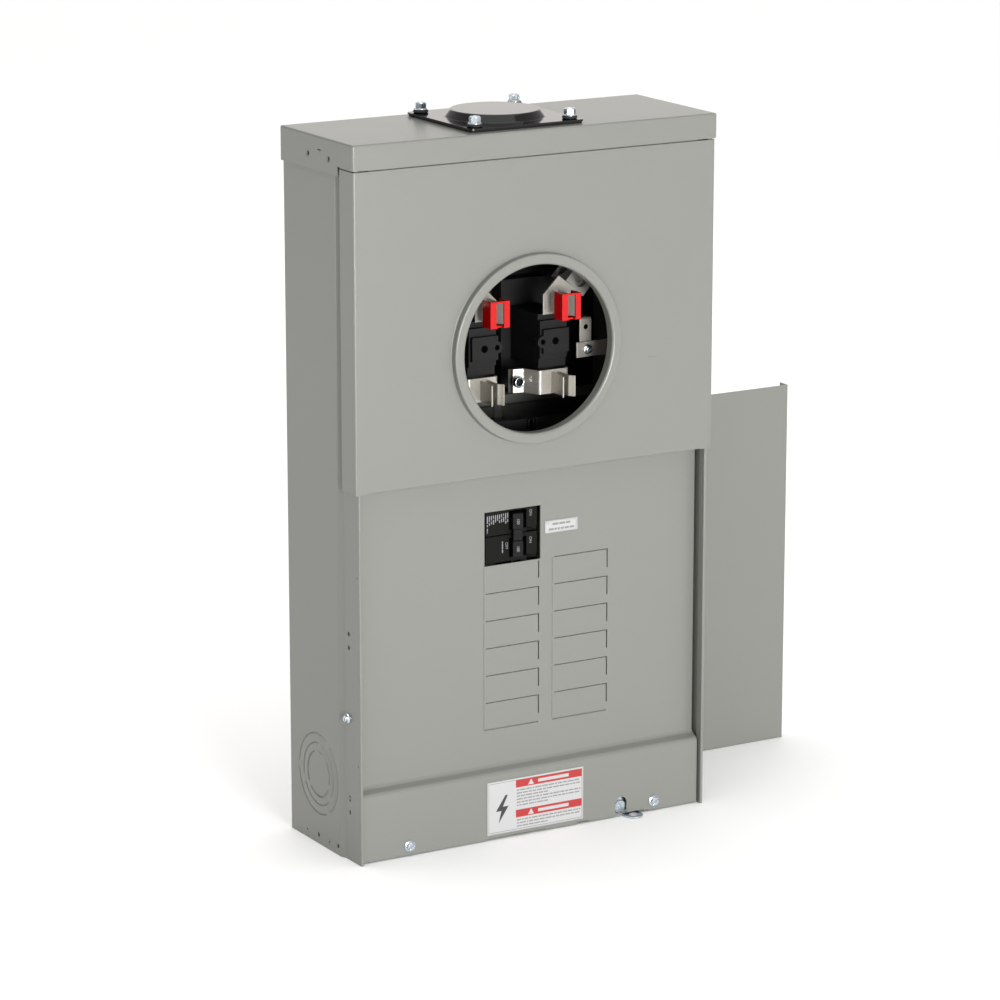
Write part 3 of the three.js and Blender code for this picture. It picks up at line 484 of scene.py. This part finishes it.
def rain_cap():
    """The lid with its front flange and side skirts, and the opening that the hub plate closes."""
    skin = Skin()
    half, top, front = CAP["half"], CAP["top"], depth(CAP["front"])
    xs, ys = splits(-half, half, 6), splits(front, 0, 6)
    low, band = top - CAP["flange"], top - CAP["strip"]
    hub = circle(HUB["x"], depth(HUB["depth"]), HUB["opening"], 48)
    skin.panel(lambda x, y: (x, y, top), xs, ys, [hub])
    skin.grid([[(x, front, z) for x in xs] for z in (top, band, low)])
    slit = [depth(d) for d in CAP["slit"]]
    skirt = top - CAP["skirt"]
    outline = [(front, low), (slit[0], low), (slit[0], low + 0.8), (slit[1], low + 0.8), (slit[1], skirt),
               (0, skirt), *[(y, band) for y in reversed(ys)]]
    dimples = [circle(depth(d), DIMPLES["z"], DIMPLES["radius"], 28) for d in DIMPLES["depths"]]
    cuts = [*dimples, rectangle(*(depth(d) for d in CAP_SLOT["depths"]), *CAP_SLOT["z"])]
    for sign in (-1, 1):
        skin.fine = True
        for d in DIMPLES["depths"]:
            skin.grid([[(sign * (half - sunk), y, z) for y, z in circle(depth(d), DIMPLES["z"], radius, 28)]
                       for radius, sunk in ((DIMPLES["radius"], 0), (2.9, 0.5), (1.9, 0.9))], wrap=True)
        skin.fine = False
        skin.grid([[(sign * half, y, z) for y in ys] for z in (top, band)])
        skin.region(lambda y, z, sign=sign: (sign * half, y, z), outline, cuts)
    skin.towards((0, 0, 1))
    sheet_metal("rain_cap", skin, "enclosure", "top_cap", fold=1.7)


# ---- covers -------------------------------------------------------------------------------------------
COVER = {"half": 184.3, "front": -1.7, "bottom": 340.6, "top": 624.7, "flange": 23.2, "lip": 7.5}
RING = {"x": -2, "z": 453.3, "inner": 75.8, "outer": 85.5, "foot": 85.9, "rise": 6.6, "throat": 2.9,
        "count": 160}
NICKS = {"places": ((-123.5, 441), (119.6, 432.5)), "half": 4.5, "height": 0.5, "sunk": 0.25}
TONGUE = {"half": 168, "rise": 14, "thickness": 1.2}


def meter_ring(skin):
    """The drawn ring, from its foot on the cover to the end of its throat; returns the area it takes."""
    front = COVER["front"]
    face = front - RING["rise"]
    path = [(RING["foot"] + 3, front), (RING["foot"], front), (RING["outer"], face), (RING["inner"], face),
            (RING["inner"], front + RING["throat"])]
    section = rounded(path, [0.7, 1.5, 2.4], 8)
    rows = [[(RING["x"] + r * math.cos(t), depth(d), RING["z"] + r * math.sin(t))
             for t in (2 * math.pi * i / RING["count"] for i in range(RING["count"]))] for r, d in section]
    skin.fine = True
    skin.grid(rows, wrap=True)
    skin.fine = False
    return circle(RING["x"], RING["z"], section[0][0], RING["count"])


def meter_cover():
    """The cover with its ring and two pressed nicks, and the tongue that hooks under the rain cap."""
    skin = Skin()
    half, front, bottom, top = COVER["half"], depth(COVER["front"]), COVER["bottom"], COVER["top"]
    xs, zs = splits(-half, half, 12.3), splits(bottom, top, 8)
    nicks = [rectangle(x - NICKS["half"], x + NICKS["half"], z, z + NICKS["height"])
             for x, z in NICKS["places"]]
    skin.panel(lambda x, z: (x, front, z), xs, zs, [meter_ring(skin), *nicks])
    skin.fine = True
    for (x0, z0), _, (x1, z1), _ in nicks:
        skin.grid([[(x, front + sunk, z) for x in (x0, x1)]
                   for z, sunk in ((z0, 0), ((z0 + z1) / 2, NICKS["sunk"]), (z1, 0))])
    skin.fine = False
    for sign in (-1, 1):
        skin.grid([[(sign * half, depth(d), z) for z in zs] for d in (COVER["front"], COVER["flange"])])
    skin.grid([[(x, depth(d), bottom) for x in xs[1:3]] for d in (COVER["front"], COVER["lip"])])
    skin.towards((0, -1, 0))
    sheet_metal("meter_cover_shell", skin, "meter_cover", "meter_cover", fold=1.7)
    tongue = Skin()
    inner = front + SHEET
    rows = ((inner + 0.1, top - 8), (inner + 0.1, top - 3), (inner + 1.6, top),
            (inner + 1.6, top + TONGUE["rise"]))
    tongue.grid([[(x, y, z) for x in (-TONGUE["half"], TONGUE["half"])] for y, z in rows])
    tongue.towards((0, -1, 0))
    sheet_metal("meter_cover_tongue", tongue, "meter_cover", fold=0.8, thickness=TONGUE["thickness"])


DEAD = {"half": 177, "front": 14.7, "top": 352, "shelf": 67.2, "apron_top": 63.0, "apron": 4.5,
        "apron_half": 176.5, "bottom": 1.3}
WINDOW = {"x": (-45.6, 12.6), "z": (254.9, 304.7)}
TWIST = {"z": 101.9, "pitch": 25.5, "rows": 6, "columns": ((-46.3, 11.4), (25.2, 83.9)), "slit": 1.1,
         "drop": 17.34}
APRON_SCREW = (129.2, 9.8)  # x and z
# x from, x to and top of the shallow notches in the apron's lower edge
NOTCHES = ((-48, 11, 2.3), (46.5, 58.6, 2.6), (95, 119, 3.1), (120.6, 124, 2.2))
CATCH = {"x": 94, "half": 6, "foot": 3.4, "crown": 13.2}  # the slot that the door's catch goes through


def twistouts(skin, place):
    """The slits of the breaker blanks; returns the areas to leave open, and draws the scored hinge lines."""
    cuts, slit = [], TWIST["slit"]
    for x0, x1 in TWIST["columns"]:
        for row in range(TWIST["rows"]):
            bottom = TWIST["z"] + row * TWIST["pitch"]
            top = bottom + TWIST["pitch"]
            end = top - TWIST["drop"]
            if row == TWIST["rows"] - 1 and x0 < 0:  # the window frees this blank's upper edge
                cuts.append(rectangle(x1 - slit, x1, end, top - 1.5))
            else:
                cuts.append([(x0 + 2, top - 0.5), (x1 - slit, top - 0.5), (x1 - slit, end), (x1, end),
                             (x1, top + 0.15), (x0 + 2, top + 0.15)])
            groove(skin, place, cuts, (x0, bottom + 1.2), (x0, top - 0.8), slit, 0.5)
        groove(skin, place, cuts, (x0 + 0.5, TWIST["z"]), (x1 - 1, TWIST["z"]), 1.4, 1.0)
    return cuts


def groove(skin, place, cuts, start, end, width, sunk):
    """A pressed line from start to end, as wide as width; its area joins the cuts."""
    a, b = Vector(start), Vector(end)
    across = (b - a).orthogonal().normalized() * width / 2
    outline = [a - across, b - across, b + across, a + across]
    middle = [place(*a, sunk), place(*b, sunk)]
    skin.fine = True
    skin.face([place(*outline[0]), place(*outline[1]), middle[1], middle[0]])
    skin.face([middle[0], middle[1], place(*outline[2]), place(*outline[3])])
    skin.face([place(*outline[0]), middle[0], place(*outline[3])])
    skin.face([place(*outline[1]), place(*outline[2]), middle[1]])
    skin.fine = False
    cuts.append([tuple(p) for p in outline])


def dead_front():
    """The inner front in one sheet: the upper part with its window and blanks, and the apron below."""
    skin = Skin()

    def upper(x, z, low=0.0):
        return (x, depth(DEAD["front"] + low), z)

    def apron(x, z):
        return (x, depth(DEAD["apron"]), z)
    cuts = [rectangle(*WINDOW["x"], *WINDOW["z"]), *twistouts(skin, upper)]
    xs = splits(-DEAD["half"], DEAD["half"], 6)
    skin.panel(upper, xs, splits(DEAD["shelf"], DEAD["top"], 10), cuts)
    apron_xs = splits(-DEAD["apron_half"], DEAD["apron_half"], 6)
    bend = DEAD["apron_top"]
    skin.grid([[upper(x, DEAD["shelf"]) for x in xs], [apron(x, bend) for x in apron_xs],
               [apron(x, bend - 8) for x in apron_xs]])
    foot = [(x, z) for x0, x1, top in NOTCHES for x, z in
            ((x0, DEAD["bottom"]), (x0, top), (x1, top), (x1, DEAD["bottom"]))]
    outline = [(apron_xs[0], DEAD["bottom"]), *foot, (apron_xs[3], DEAD["bottom"]),
               *[(x, bend - 8) for x in reversed(apron_xs)]]
    x, half = CATCH["x"], CATCH["half"]
    slot = [(x - half, CATCH["foot"]), (x + half, CATCH["foot"]),
            *[(x + half * math.cos(t), CATCH["crown"] + half * math.sin(t))
              for t in (math.pi * i / 16 for i in range(17))]]
    holes = [circle(sign * APRON_SCREW[0], APRON_SCREW[1], 2.7, 20) for sign in (-1, 1)]
    skin.region(apron, outline, [slot, *holes])
    skin.towards((0, -1, 0))
    sheet_metal("dead_front_panel", skin, "enclosure", "dead_front", fold=3.0)


def door():
    """A shallow pan with two sides and a narrow lower lip."""
    low, high = reach("door")
    skin = Skin()
    xs, zs = splits(low.x, high.x, 5), splits(low.z, high.z, 5)
    skin.panel(lambda x, z: (x, low.y, z), xs, zs)
    for x in (low.x, high.x):
        skin.grid([[(x, y, z) for z in zs] for y in (low.y, high.y)])
    skin.grid([[(x, y, low.z) for x in xs[1:3]] for y in (low.y, low.y + 4)])
    skin.towards((0, -1, 0))
    sheet_metal("door_pan", skin, "door", "door", fold=1.6)


# ---- hub closure --------------------------------------------------------------------------------------
HUB = {"x": -5, "depth": 65.8, "half": 58, "corner": 4, "thick": 1.8, "foot": 45, "crown": 39.5, "rise": 6.6,
       "opening": 33}


def hub_cover():
    """The black plate with a drawn crown that closes the cap's opening."""
    low, _ = reach("hub_plate")
    top = low.z + HUB["thick"]
    cx, cy = HUB["x"], depth(HUB["depth"])
    skin = Skin()
    count = 96
    path = [(HUB["foot"] + 2.5, top), (HUB["foot"], top), (HUB["crown"] + 0.6, top + HUB["rise"]),
            (HUB["crown"] - 6, top + HUB["rise"])]
    section = rounded(path, [1.6, 2.4], 6)
    rows = [[(cx + r * math.cos(t), cy + r * math.sin(t), z)
             for t in (2 * math.pi * i / count for i in range(count))] for r, z in section]
    skin.grid(rows, wrap=True)
    skin.face(rows[-1])
    radius, corners = HUB["corner"], []
    inset = HUB["half"] - radius
    for i, (sx, sy) in enumerate(((1, 1), (-1, 1), (-1, -1), (1, -1))):
        corners += [(cx + sx * inset + radius * math.cos(t), cy + sy * inset + radius * math.sin(t))
                    for t in (math.pi / 2 * (i + k / 6) for k in range(7))]
    skin.region(lambda x, y: (x, y, top), corners, [circle(cx, cy, section[0][0], count)])
    skin.towards((0, 0, 1))
    sheet_metal("hub_cover", skin, "enclosure", "hub_plate", fold=0, thickness=HUB["thick"] - 0.1,
                material=BLACK_ENAMEL, slot="black_paint")


def hex_head(radius, low, high, chamfer, dish=0.5):
    """A hexagonal head, its top corners turned off, with a shallow dish, along z at the origin."""
    count = 48
    angles = [2 * math.pi * i / count for i in range(count)]
    inner = radius * math.cos(math.pi / 6)
    crown = inner * 0.94

    def ring(radii, heights):
        return [(r * math.cos(t), r * math.sin(t), z) for t, r, z in zip(angles, radii, heights)]
    flats = [inner / math.cos((t + math.pi / 6) % (math.pi / 3) - math.pi / 6) for t in angles]
    drop = [(r - crown) / (radius - crown) * chamfer for r in flats]
    rows = [ring(flats, [low] * count), ring(flats, [high - d for d in drop]),
            ring([crown] * count, [high] * count), ring([inner * 0.72] * count, [high] * count),
            ring([inner * 0.6] * count, [high - dish] * count)]
    skin = Skin()
    skin.grid(rows, wrap=True)
    skin.face(rows[0])
    skin.face(rows[-1])
    bmesh.ops.recalc_face_normals(skin.bm, faces=skin.bm.faces[:])
    return skin.bm


def hub_fasteners():
    """Four flanged bolts, each on its sealing washer."""
    for i in range(1, 5):
        low, high = reach(f"hub_washer_{i}")
        cx, cy = (low.x + high.x) / 2, (low.y + high.y) / 2
        ring = [(3.4, low.z), (6.3, low.z), (6.8, low.z + 0.5), (6.8, high.z - 0.6), (6.2, high.z),
                (3.4, high.z)]
        skin = Skin()
        rows = [[(cx + r * math.cos(t), cy + r * math.sin(t), z)
                 for t in (math.pi * k / 20 for k in range(40))] for r, z in [*ring, ring[0]]]
        skin.grid(rows, wrap=True)
        bmesh.ops.recalc_face_normals(skin.bm, faces=skin.bm.faces[:])
        washer = new_object(f"sealing_washer_{i}", skin.bm, [RUBBER])
        belongs(washer, "enclosure", "rubber", f"hub_washer_{i}")
        seat = high.z + 0.3
        top = reach(f"hub_bolt_{i}")[1].z
        flange = turned([(6.1, 0), (6.1, 0.5), (5.5, 1.3), (3, 1.4)], count=48)
        head = hex_head(5.3, 0.6, top - seat - 0.05, 1.2)
        shank = turned([(2.9, -13.5), (2.9, 0.5)], count=24)
        bolt = made_of(f"flange_bolt_{i}", flange, [ZINC], [head, shank])
        put(bolt, (cx, cy, seat), Matrix.Rotation(0.4 + 1.3 * i, 4, "Z"))
        soften(bolt, 0.12, 1, 40)
        belongs(bolt, "enclosure", "zinc_steel", f"hub_bolt_{i}")


# ---- screws and latch ---------------------------------------------------------------------------------
def cover_screw(name, node, centre, axis, flip, radius=4.2, length=11):
    """A slotted hex washer-head screw whose washer sits at centre."""
    rim = [(radius + 1.1, 0), (radius + 1.1, 0.5), (radius + 0.3, 1.0), (radius - 1, 1.1)]
    washer = turned(rim)
    shank = turned([(2.1, -length), (2.1, 0.4)], count=24)
    slot = box_bm((-8, 8), (-0.55, 0.55), (2.7, 5))
    screw = made_of(name, washer, [ZINC], [hex_head(radius, 0.6, 3.85, 0.8, 0.0), shank], [slot])
    turn = ALONG[axis] @ Matrix.Rotation(math.pi if flip else 0, 4, "X") @ Matrix.Rotation(0.6, 4, "Z")
    put(screw, centre, turn)
    soften(screw, 0.12, 1, 40)
    belongs(screw, "enclosure", "zinc_steel", node)


def screws():
    """The apron's, the rails' and the ground strap's."""
    for side, sign in (("left", -1), ("right", 1)):
        x, z = APRON_SCREW
        on_apron = (sign * x, depth(DEAD["apron"]) - 0.3, z)
        cover_screw(f"apron_screw_{side}", f"dead_front_screw_{side}", on_apron, "y", True)
        behind, z = RAIL_SCREW
        on_rail = (sign * (RAIL_HALF + 0.3), depth(behind), z)
        cover_screw(f"rail_screw_{side}", f"side_screw_{side}", on_rail, "x", sign < 0, 3.4)
    low, high = reach("ground_screw")
    length = 9
    centre = ((low.x + high.x) / 2, high.y - length, (low.z + high.z) / 2)
    cover_screw("strap_screw", "ground_screw", centre, "y", True, 3.4, length)


def threaded_collars():
    """The load straps' screws: knurled rims around threaded sockets, each shallow bore closed by a black face
    as painted shade for a deep hole.
    """
    for side in ("left", "right"):
        low, high = reach(f"load_screw_{side}")
        centre = ((low.x + high.x) / 2, (low.z + high.z) / 2)
        front, back, radius = low.y, high.y, (high.z - low.z) / 2
        count = 72

        def ring(r, y, teeth=0.0, centre=centre):
            return [(centre[0] + q * math.cos(t), y, centre[1] + q * math.sin(t))
                    for t, q in ((2 * math.pi * i / count, r - teeth * (i // 2 % 2)) for i in range(count))]
        bore = [ring(radius * (0.60 if k % 2 else 0.69), front + 0.5 + 0.4 * k) for k in range(9)]
        rows = [ring(radius - 0.3, back), ring(radius, back - 0.4, 0.35), ring(radius, front + 0.6, 0.35),
                ring(radius - 0.6, front), ring(radius * 0.76, front), *bore]
        skin = Skin()
        skin.face(rows[0])
        skin.grid(rows, wrap=True)
        # the bore's end in black thermoset: painted shade for the dark depth of the threaded hole
        skin.face(rows[-1], 1)
        bmesh.ops.recalc_face_normals(skin.bm, faces=skin.bm.faces[:])
        collar = new_object(f"load_collar_{side}", skin.bm, [ZINC, THERMOSET])
        for polygon in collar.data.polygons:
            polygon.use_smooth = polygon.material_index == 0
        belongs(collar, "enclosure", "zinc_steel", f"load_screw_{side}")


LINE_LUG = {"x": {"left": -65.5, "right": 64}, "z": 502.5, "depth": 44.5, "wire_depth": 49,
            "lean": math.pi / 4.3}


def line_lugs():
    """Box lugs with eased corners, a wire hole across and a set screw's bore in front."""
    for side, out in (("left", -1), ("right", 1)):
        x, z = LINE_LUG["x"][side], LINE_LUG["z"]
        turn = Matrix.Rotation(out * LINE_LUG["lean"], 4, "Y")

        def placed(bm, behind, x=x, z=z, turn=turn):
            spot = Matrix.Translation((x, depth(behind), z))
            bmesh.ops.transform(bm, matrix=spot @ turn, verts=bm.verts[:])
            return bm
        block = placed(box_bm((-12, 12), (-13, 13), (-9.5, 9.5)), LINE_LUG["depth"])
        wire = placed(turned([(6.2, -30), (6.2, 30)], axis="x"), LINE_LUG["wire_depth"])
        bore = turned([(6.3, 0), (6.3, 20)], (x, depth(24), z), "y")
        lug = made_of(f"box_lug_{side}", block, [LUG], (), [wire, bore])
        soften(lug, 0.8, 3, 40)
        belongs(lug, "enclosure", "lug_alloy", f"line_lug_{side}")


HASP = {"x": 105, "left": 88.6, "radius": 8.6, "eye": 4.2}
STUD = {"x": 94.4, "z": 9.2, "radius": 5.3, "knurls": 15}


def hasp():
    """The padlock tab with its leaf behind the apron, and the stud that shows in the catch's slot."""
    low, high = reach("padlock_hasp")
    x, y, radius = HASP["x"], depth(0), HASP["radius"]
    arc = [(x + radius * math.cos(t), y + radius * math.sin(t))
           for t in (math.pi + math.pi * k / 24 for k in range(25))]
    tongue = extruded([*arc, (x + radius, high.y - 0.1), (x - radius, high.y - 0.1)],
                      low.z + 0.05, low.z + 1.25)
    left, right, foot = HASP["left"], x + radius, low.z + 0.1
    leaf_outline = rounded([(left, foot), (left, high.z), (right, high.z), (right, foot)], [3, 3], 6)
    leaf = extruded([tuple(p) for p in leaf_outline], high.y - 1.6, high.y, "xz")
    hole = turned([(HASP["eye"], -3), (HASP["eye"], 5)], (x, y, low.z), count=32)
    obj = made_of("padlock_tab", tongue, [ZINC], [leaf], [hole])
    soften(obj, 0.3, 2, 40)
    belongs(obj, "enclosure", "zinc_steel", "padlock_hasp")
    x, z, knurls = STUD["x"], STUD["z"], STUD["knurls"]
    rim = [STUD["radius"] + 0.45 * (k % 2) for k in range(2 * knurls)]
    outline = [(x + q * math.cos(math.pi * k / knurls), z + q * math.sin(math.pi * k / knurls))
               for k, q in enumerate(rim)]
    slot = box_bm((x - 0.8, x + 0.8), (depth(5), depth(7.2)), (2, 18))
    bmesh.ops.rotate(slot, cent=(x, 0, z), matrix=Matrix.Rotation(-0.6, 3, "Y"), verts=slot.verts[:])
    boss = turned([(2.2, 0), (2.2, 1.2), (1.6, 1.9)], (x, depth(6.2), z), "y", 24)
    stud = made_of("catch_stud", extruded(outline, depth(6.6), depth(9), "xz"), [ZINC], [boss], [slot])
    soften(stud, 0.25, 1, 35)
    belongs(stud, "enclosure", "zinc_steel")


# ---- labels -------------------------------------------------------------------------------------------
def dashes(u0, u1, v, height, seed, gap):
    """A line of unreadable print: blocks of uneven length from u0 to u1."""
    out, u, k = [], u0, seed
    while u < u1 - 1:
        k = (k * 37 + 11) % 101
        length = min(1.6 + 5.2 * k / 101, u1 - u)
        out.append(rectangle(u, u + length, v, v + height))
        u += length + gap
    return out


WHITE, RED_INK, BLACK_INK, GREY_INK = range(4)  # a label's materials in their order


def printed(name, node, low, high, inks):
    """A thin printed label on the front; inks are (outline, ink number) in x and z."""
    skin = Skin()
    y = low.y
    start = (low.x + 4, low.z)
    corners = [start, (low.x, low.z), (low.x, high.z), (high.x, high.z), (high.x, low.z), start]
    outline = [tuple(p) for p in rounded(corners, [0.8] * 4, 4)][:-1]
    skin.region(lambda x, z: (x, y, z), outline, (), inks)
    skin.towards((0, -1, 0))
    obj = new_object(name, skin.bm, [LABEL, INK_RED, INK_BLACK, INK_GREY])
    solid = obj.modifiers.new("thickness", "SOLIDIFY")
    solid.thickness = (high.y - low.y) * MM
    solid.offset = -1
    belongs(obj, "enclosure", "label", node)


def frame_line(x0, x1, z0, z1, width):
    """The four strips of a thin border."""
    left, right, foot, head = x0 + width, x1 - width, z0 + width, z1 - width
    return [rectangle(x0, x1, z0, foot), rectangle(x0, x1, head, z1),
            rectangle(x0, left, foot, head), rectangle(right, x1, foot, head)]


def apron_label():
    """Two red bands with lines of unreadable print below them, beside a lightning bolt."""
    low, high = reach("danger_label")
    x0, x1, z0, z1 = low.x, high.x, low.z, high.z
    middle = x0 + 30
    inks = [(line, GREY_INK) for line in frame_line(x0 + 1.4, x1 - 1.4, z0 + 1.6, z1 - 1.6, 0.5)]
    bands = (z1 - 1.8, z1 - 30.2)
    for top in bands:
        inks.append((rectangle(middle, x1 - 1.9, top - 7.2, top), RED_INK))
        peak = middle + 16
        inks.append(([(peak - 3.2, top - 6.2), (peak + 3.2, top - 6.2), (peak, top - 0.9)], WHITE))
        inks.append((rectangle(peak + 7.5, peak + 40, top - 5.2, top - 2.2), WHITE))
    rows = [top - 10.4 - 2.9 * k for top, count in zip(bands, (6, 3)) for k in range(count)]
    for k, z in enumerate(rows):
        length = x1 - 3 if k % 3 != 2 else middle + 34
        inks += [(block, GREY_INK) for block in dashes(middle + 1, length, z, 1.25, 7 * k + 3, 0.8)]
    cx, cz = x0 + 15.5, (z0 + z1) / 2 - 2
    bolt = [(3.5, 13), (-6.5, -1.5), (-0.8, -1.5), (-3.6, -13), (6.8, 2.4), (0.9, 2.4), (6.0, 13)]
    inks.append(([(cx + u, cz + v) for u, v in bolt], BLACK_INK))
    printed("apron_label", "danger_label", low, high, inks)


def breaker_label():
    """Two lines of unreadable print."""
    low, high = reach("service_label")
    inks = [(block, GREY_INK) for block in dashes(low.x + 8, high.x - 8, high.z - 4.7, 2.0, 5, 0.7)]
    inks += [(block, GREY_INK) for block in dashes(low.x + 4, high.x - 4, low.z + 2.2, 2.0, 29, 0.7)]
    printed("breaker_label", "service_label", low, high, inks)


# ---- main breaker -------------------------------------------------------------------------------------
def words(text, size, centre):
    """Flat print on the breaker's face that reads downwards, as a mesh in metres."""
    curve = bpy.data.curves.new("print_" + text.lower(), "FONT")
    curve.body = text
    curve.size = size * MM
    curve.align_x = "CENTER"
    curve.align_y = "CENTER"
    holder = linked("print_" + text.lower(), curve)
    mesh = evaluated(holder)
    bpy.data.objects.remove(holder)
    stand = Matrix.Rotation(math.pi / 2, 4, "X") @ Matrix.Rotation(-math.pi / 2, 4, "Z")
    spot = Vector((centre[0], centre[1], centre[2] + UNDERSIDE)) * MM
    mesh.transform(Matrix.Translation(spot) @ stand)
    return mesh


def breaker_print():
    """Columns of unreadable print, and the plain words beside the handles."""
    face, upper = reach("main_pole_upper")
    lower = reach("main_pole_lower")[1]
    y = face.y - 0.06
    marks = Skin()

    def column(x, z, length, width, seed, gap=0.7):
        for outline in dashes(0, length, 0, width, seed, gap):
            marks.face([(x + v, y, z - u) for u, v in outline])
    left = -41.6
    for k in range(11):
        column(left + 2.1 * k, upper.z - 6 + 0.1 * k, 9.6 - (k % 3), 0.95, 13 * k + 5, 1.15)
    column(left, upper.z - 17, 4.5, 0.9, 3)
    column(-26, lower.z - 5.5, 10.5, 1.0, 8, 0.5)
    bmesh.ops.transform(marks.bm, matrix=TO_METRES, verts=marks.bm.verts[:])
    for text, x, z in (("ON", 3.6, upper.z - 7.5), ("ON", 3.6, lower.z - 7.5), ("OFF", -21.3, lower.z - 10)):
        marks.bm.from_mesh(words(text, 3.8, (x, y, z)))
    mesh = bpy.data.meshes.new("breaker_print")
    marks.bm.to_mesh(mesh)
    marks.bm.free()
    mesh.materials.append(INK_WHITE)
    belongs(linked("breaker_print", mesh), "enclosure", "label")


HANDLE = {"x": -9.5, "depth": 24, "reach": 15, "thrown": math.radians(-16)}


def handle_print():
    """A plain number on the end of each handle, thrown as the handles are at rest."""
    pivot = Matrix.Translation(Vector((HANDLE["x"], depth(HANDLE["depth"]), UNDERSIDE)) * MM)
    swing = pivot @ Matrix.Rotation(HANDLE["thrown"], 4, "Z")
    for node in ("main_handle_upper", "main_handle_lower"):
        low, high = reach(node)
        mesh = words("100", 3.6, (0, -HANDLE["reach"] - 0.08, (low.z + high.z) / 2 - UNDERSIDE))
        mesh.transform(swing)
        mesh.materials.append(INK_WHITE)
        belongs(linked(node + "_rating", mesh), "breaker_handle", "label")


# ---- carried CAD pieces -------------------------------------------------------------------------------
def carry(node, material, ease):
    """Keeps a CAD node, with eased edges and a better material."""
    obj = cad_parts[node]
    obj.data.materials.clear()
    obj.data.materials.append(material)
    for polygon in obj.data.polygons:
        polygon.use_smooth = True
        polygon.material_index = 0
    merge = obj.modifiers.new("weld", "WELD")
    merge.merge_threshold = 1e-6
    flat = obj.modifiers.new("flats", "DECIMATE")
    flat.decimate_type = "DISSOLVE"
    flat.angle_limit = math.radians(1)
    if ease:
        soften(obj, ease, 2, 30)


def carried():
    """Every CAD node that no piece replaces."""
    plain = {
        "bottom_endwall": (PAINT, 0), "interior_pan": (PAINT, 0.3), "meter_pan": (THERMOSET, 0.3),
        "hub_gasket": (RUBBER, 0), "barrier_shelf": (SHELF, 0.6), "bus_base": (THERMOSET, 0.8),
        "neutral_stand": (THERMOSET, 0.5), "neutral_bar": (LUG, 0.4), "ground_bar": (LUG, 0.4),
        "ground_bar_stand": (LUG, 0.5), "ground_strap": (TIN, 0.25), "ground_tab": (TIN, 0.25),
        "handle_tie": (LEVER, 0.5), "bus_bar_left": (TIN, 0.4), "bus_bar_right": (TIN, 0.4),
    }
    for side in ("left", "right"):
        plain.update({
            f"jaw_block_{side}": (THERMOSET, 0.8), f"line_jaw_{side}": (TIN, 0.3),
            f"load_jaw_{side}": (TIN, 0.3), f"jaw_guard_{side}": (RED, 0.5),
            # the load straps take the near-black painted shade
            f"line_lug_screw_{side}": (LUG, 0.3), f"load_strap_{side}": (STRAP_PAINTED_SHADE, 0.3),
        })
    for level in ("upper", "lower"):
        plain[f"main_pole_{level}"] = (CASE, 0.5)
        plain[f"main_handle_{level}"] = (LEVER, 0.7)
    for node, (material, ease) in plain.items():
        carry(node, material, ease)


# ---- stage --------------------------------------------------------------------------------------------
CAMERA = {"azimuth": -30.235, "elevation": 13.992, "distance": 3672.95, "x": -38.05, "z": 318.86,
          "focal": 148.8}


def camera():
    """Looks at the target from an azimuth, in degrees from the front, and an elevation."""
    azimuth, elevation = math.radians(CAMERA["azimuth"]), math.radians(CAMERA["elevation"])
    back = Vector((math.sin(azimuth) * math.cos(elevation), -math.cos(azimuth) * math.cos(elevation),
                   math.sin(elevation)))
    target = Vector((CAMERA["x"], RAIL_FRONT, CAMERA["z"] + UNDERSIDE)) * MM
    data = bpy.data.cameras.new("camera")
    data.lens = CAMERA["focal"]
    data.sensor_width = 36
    data.clip_end = 50
    obj = linked("camera", data)
    obj.location = target + back * CAMERA["distance"] * MM
    obj.rotation_euler = back.to_track_quat("Z", "Y").to_euler()
    bpy.context.scene.camera = obj


def area_light(name, spot, aim, size, power, tint=(1, 1, 1)):
    """A soft rectangular light at spot, facing aim, in metres and watts."""
    data = bpy.data.lights.new(name, "AREA")
    data.shape = "RECTANGLE"
    data.size, data.size_y = size
    data.energy = power
    data.color = tint
    obj = linked(name, data)
    obj.location = spot
    obj.rotation_euler = (Vector(spot) - Vector(aim)).to_track_quat("Z", "Y").to_euler()


def stage():
    """A pale floor at the foot of the CAD, a pale sky and the lights."""
    bm = bmesh.new()
    ground = Matrix.Translation((0, 0, CAD_BOX[0].z))
    bmesh.ops.create_grid(bm, x_segments=1, y_segments=1, size=12, matrix=ground)
    mesh = bpy.data.meshes.new("floor")
    bm.to_mesh(mesh)
    bm.free()
    mesh.materials.append(mottled("pale_floor", (0.97, 0.97, 0.97), 0.7, mottle=(1, 0.01),
                                  grain=(60, 0.00001)))
    floor = linked("floor", mesh)
    world = bpy.data.worlds.new("studio")
    world.use_nodes = True
    sky = world.node_tree.nodes["Background"].inputs
    sky["Color"].default_value = (1.0, 0.993, 0.982, 1)
    sky["Strength"].default_value = 0.62
    bpy.context.scene.world = world
    bpy.context.scene.view_settings.view_transform = "Standard"
    area_light("front", (-0.5, -5.2, 0.1), (0, 0, 0), (1.8, 2.0), 375, (1.0, 1.0, 0.985))
    area_light("low", (-0.1, -2.6, -0.12), (0, 0, -0.2), (1.6, 0.3), 14)
    area_light("back", (1.7, 2.9, 0.95), (0, 0, 0.2), (3.0, 1.3), 8.5, (1.0, 0.94, 0.88))
    area_light("side", (-2.8, 1.9, 0.3), (-0.18, -0.06, 0), (1.0, 1.4), 17, (1.0, 0.94, 0.88))
    overhead = bpy.data.lights.new("overhead", "SUN")
    overhead.energy = 1.35
    overhead.angle = math.radians(70)
    linked("overhead", overhead)


camera()
stage()
enclosure_shell()
rain_cap()
meter_cover()
dead_front()
door()
hub_cover()
hub_fasteners()
screws()
threaded_collars()
line_lugs()
hasp()
apron_label()
breaker_label()
breaker_print()
handle_print()
carried()
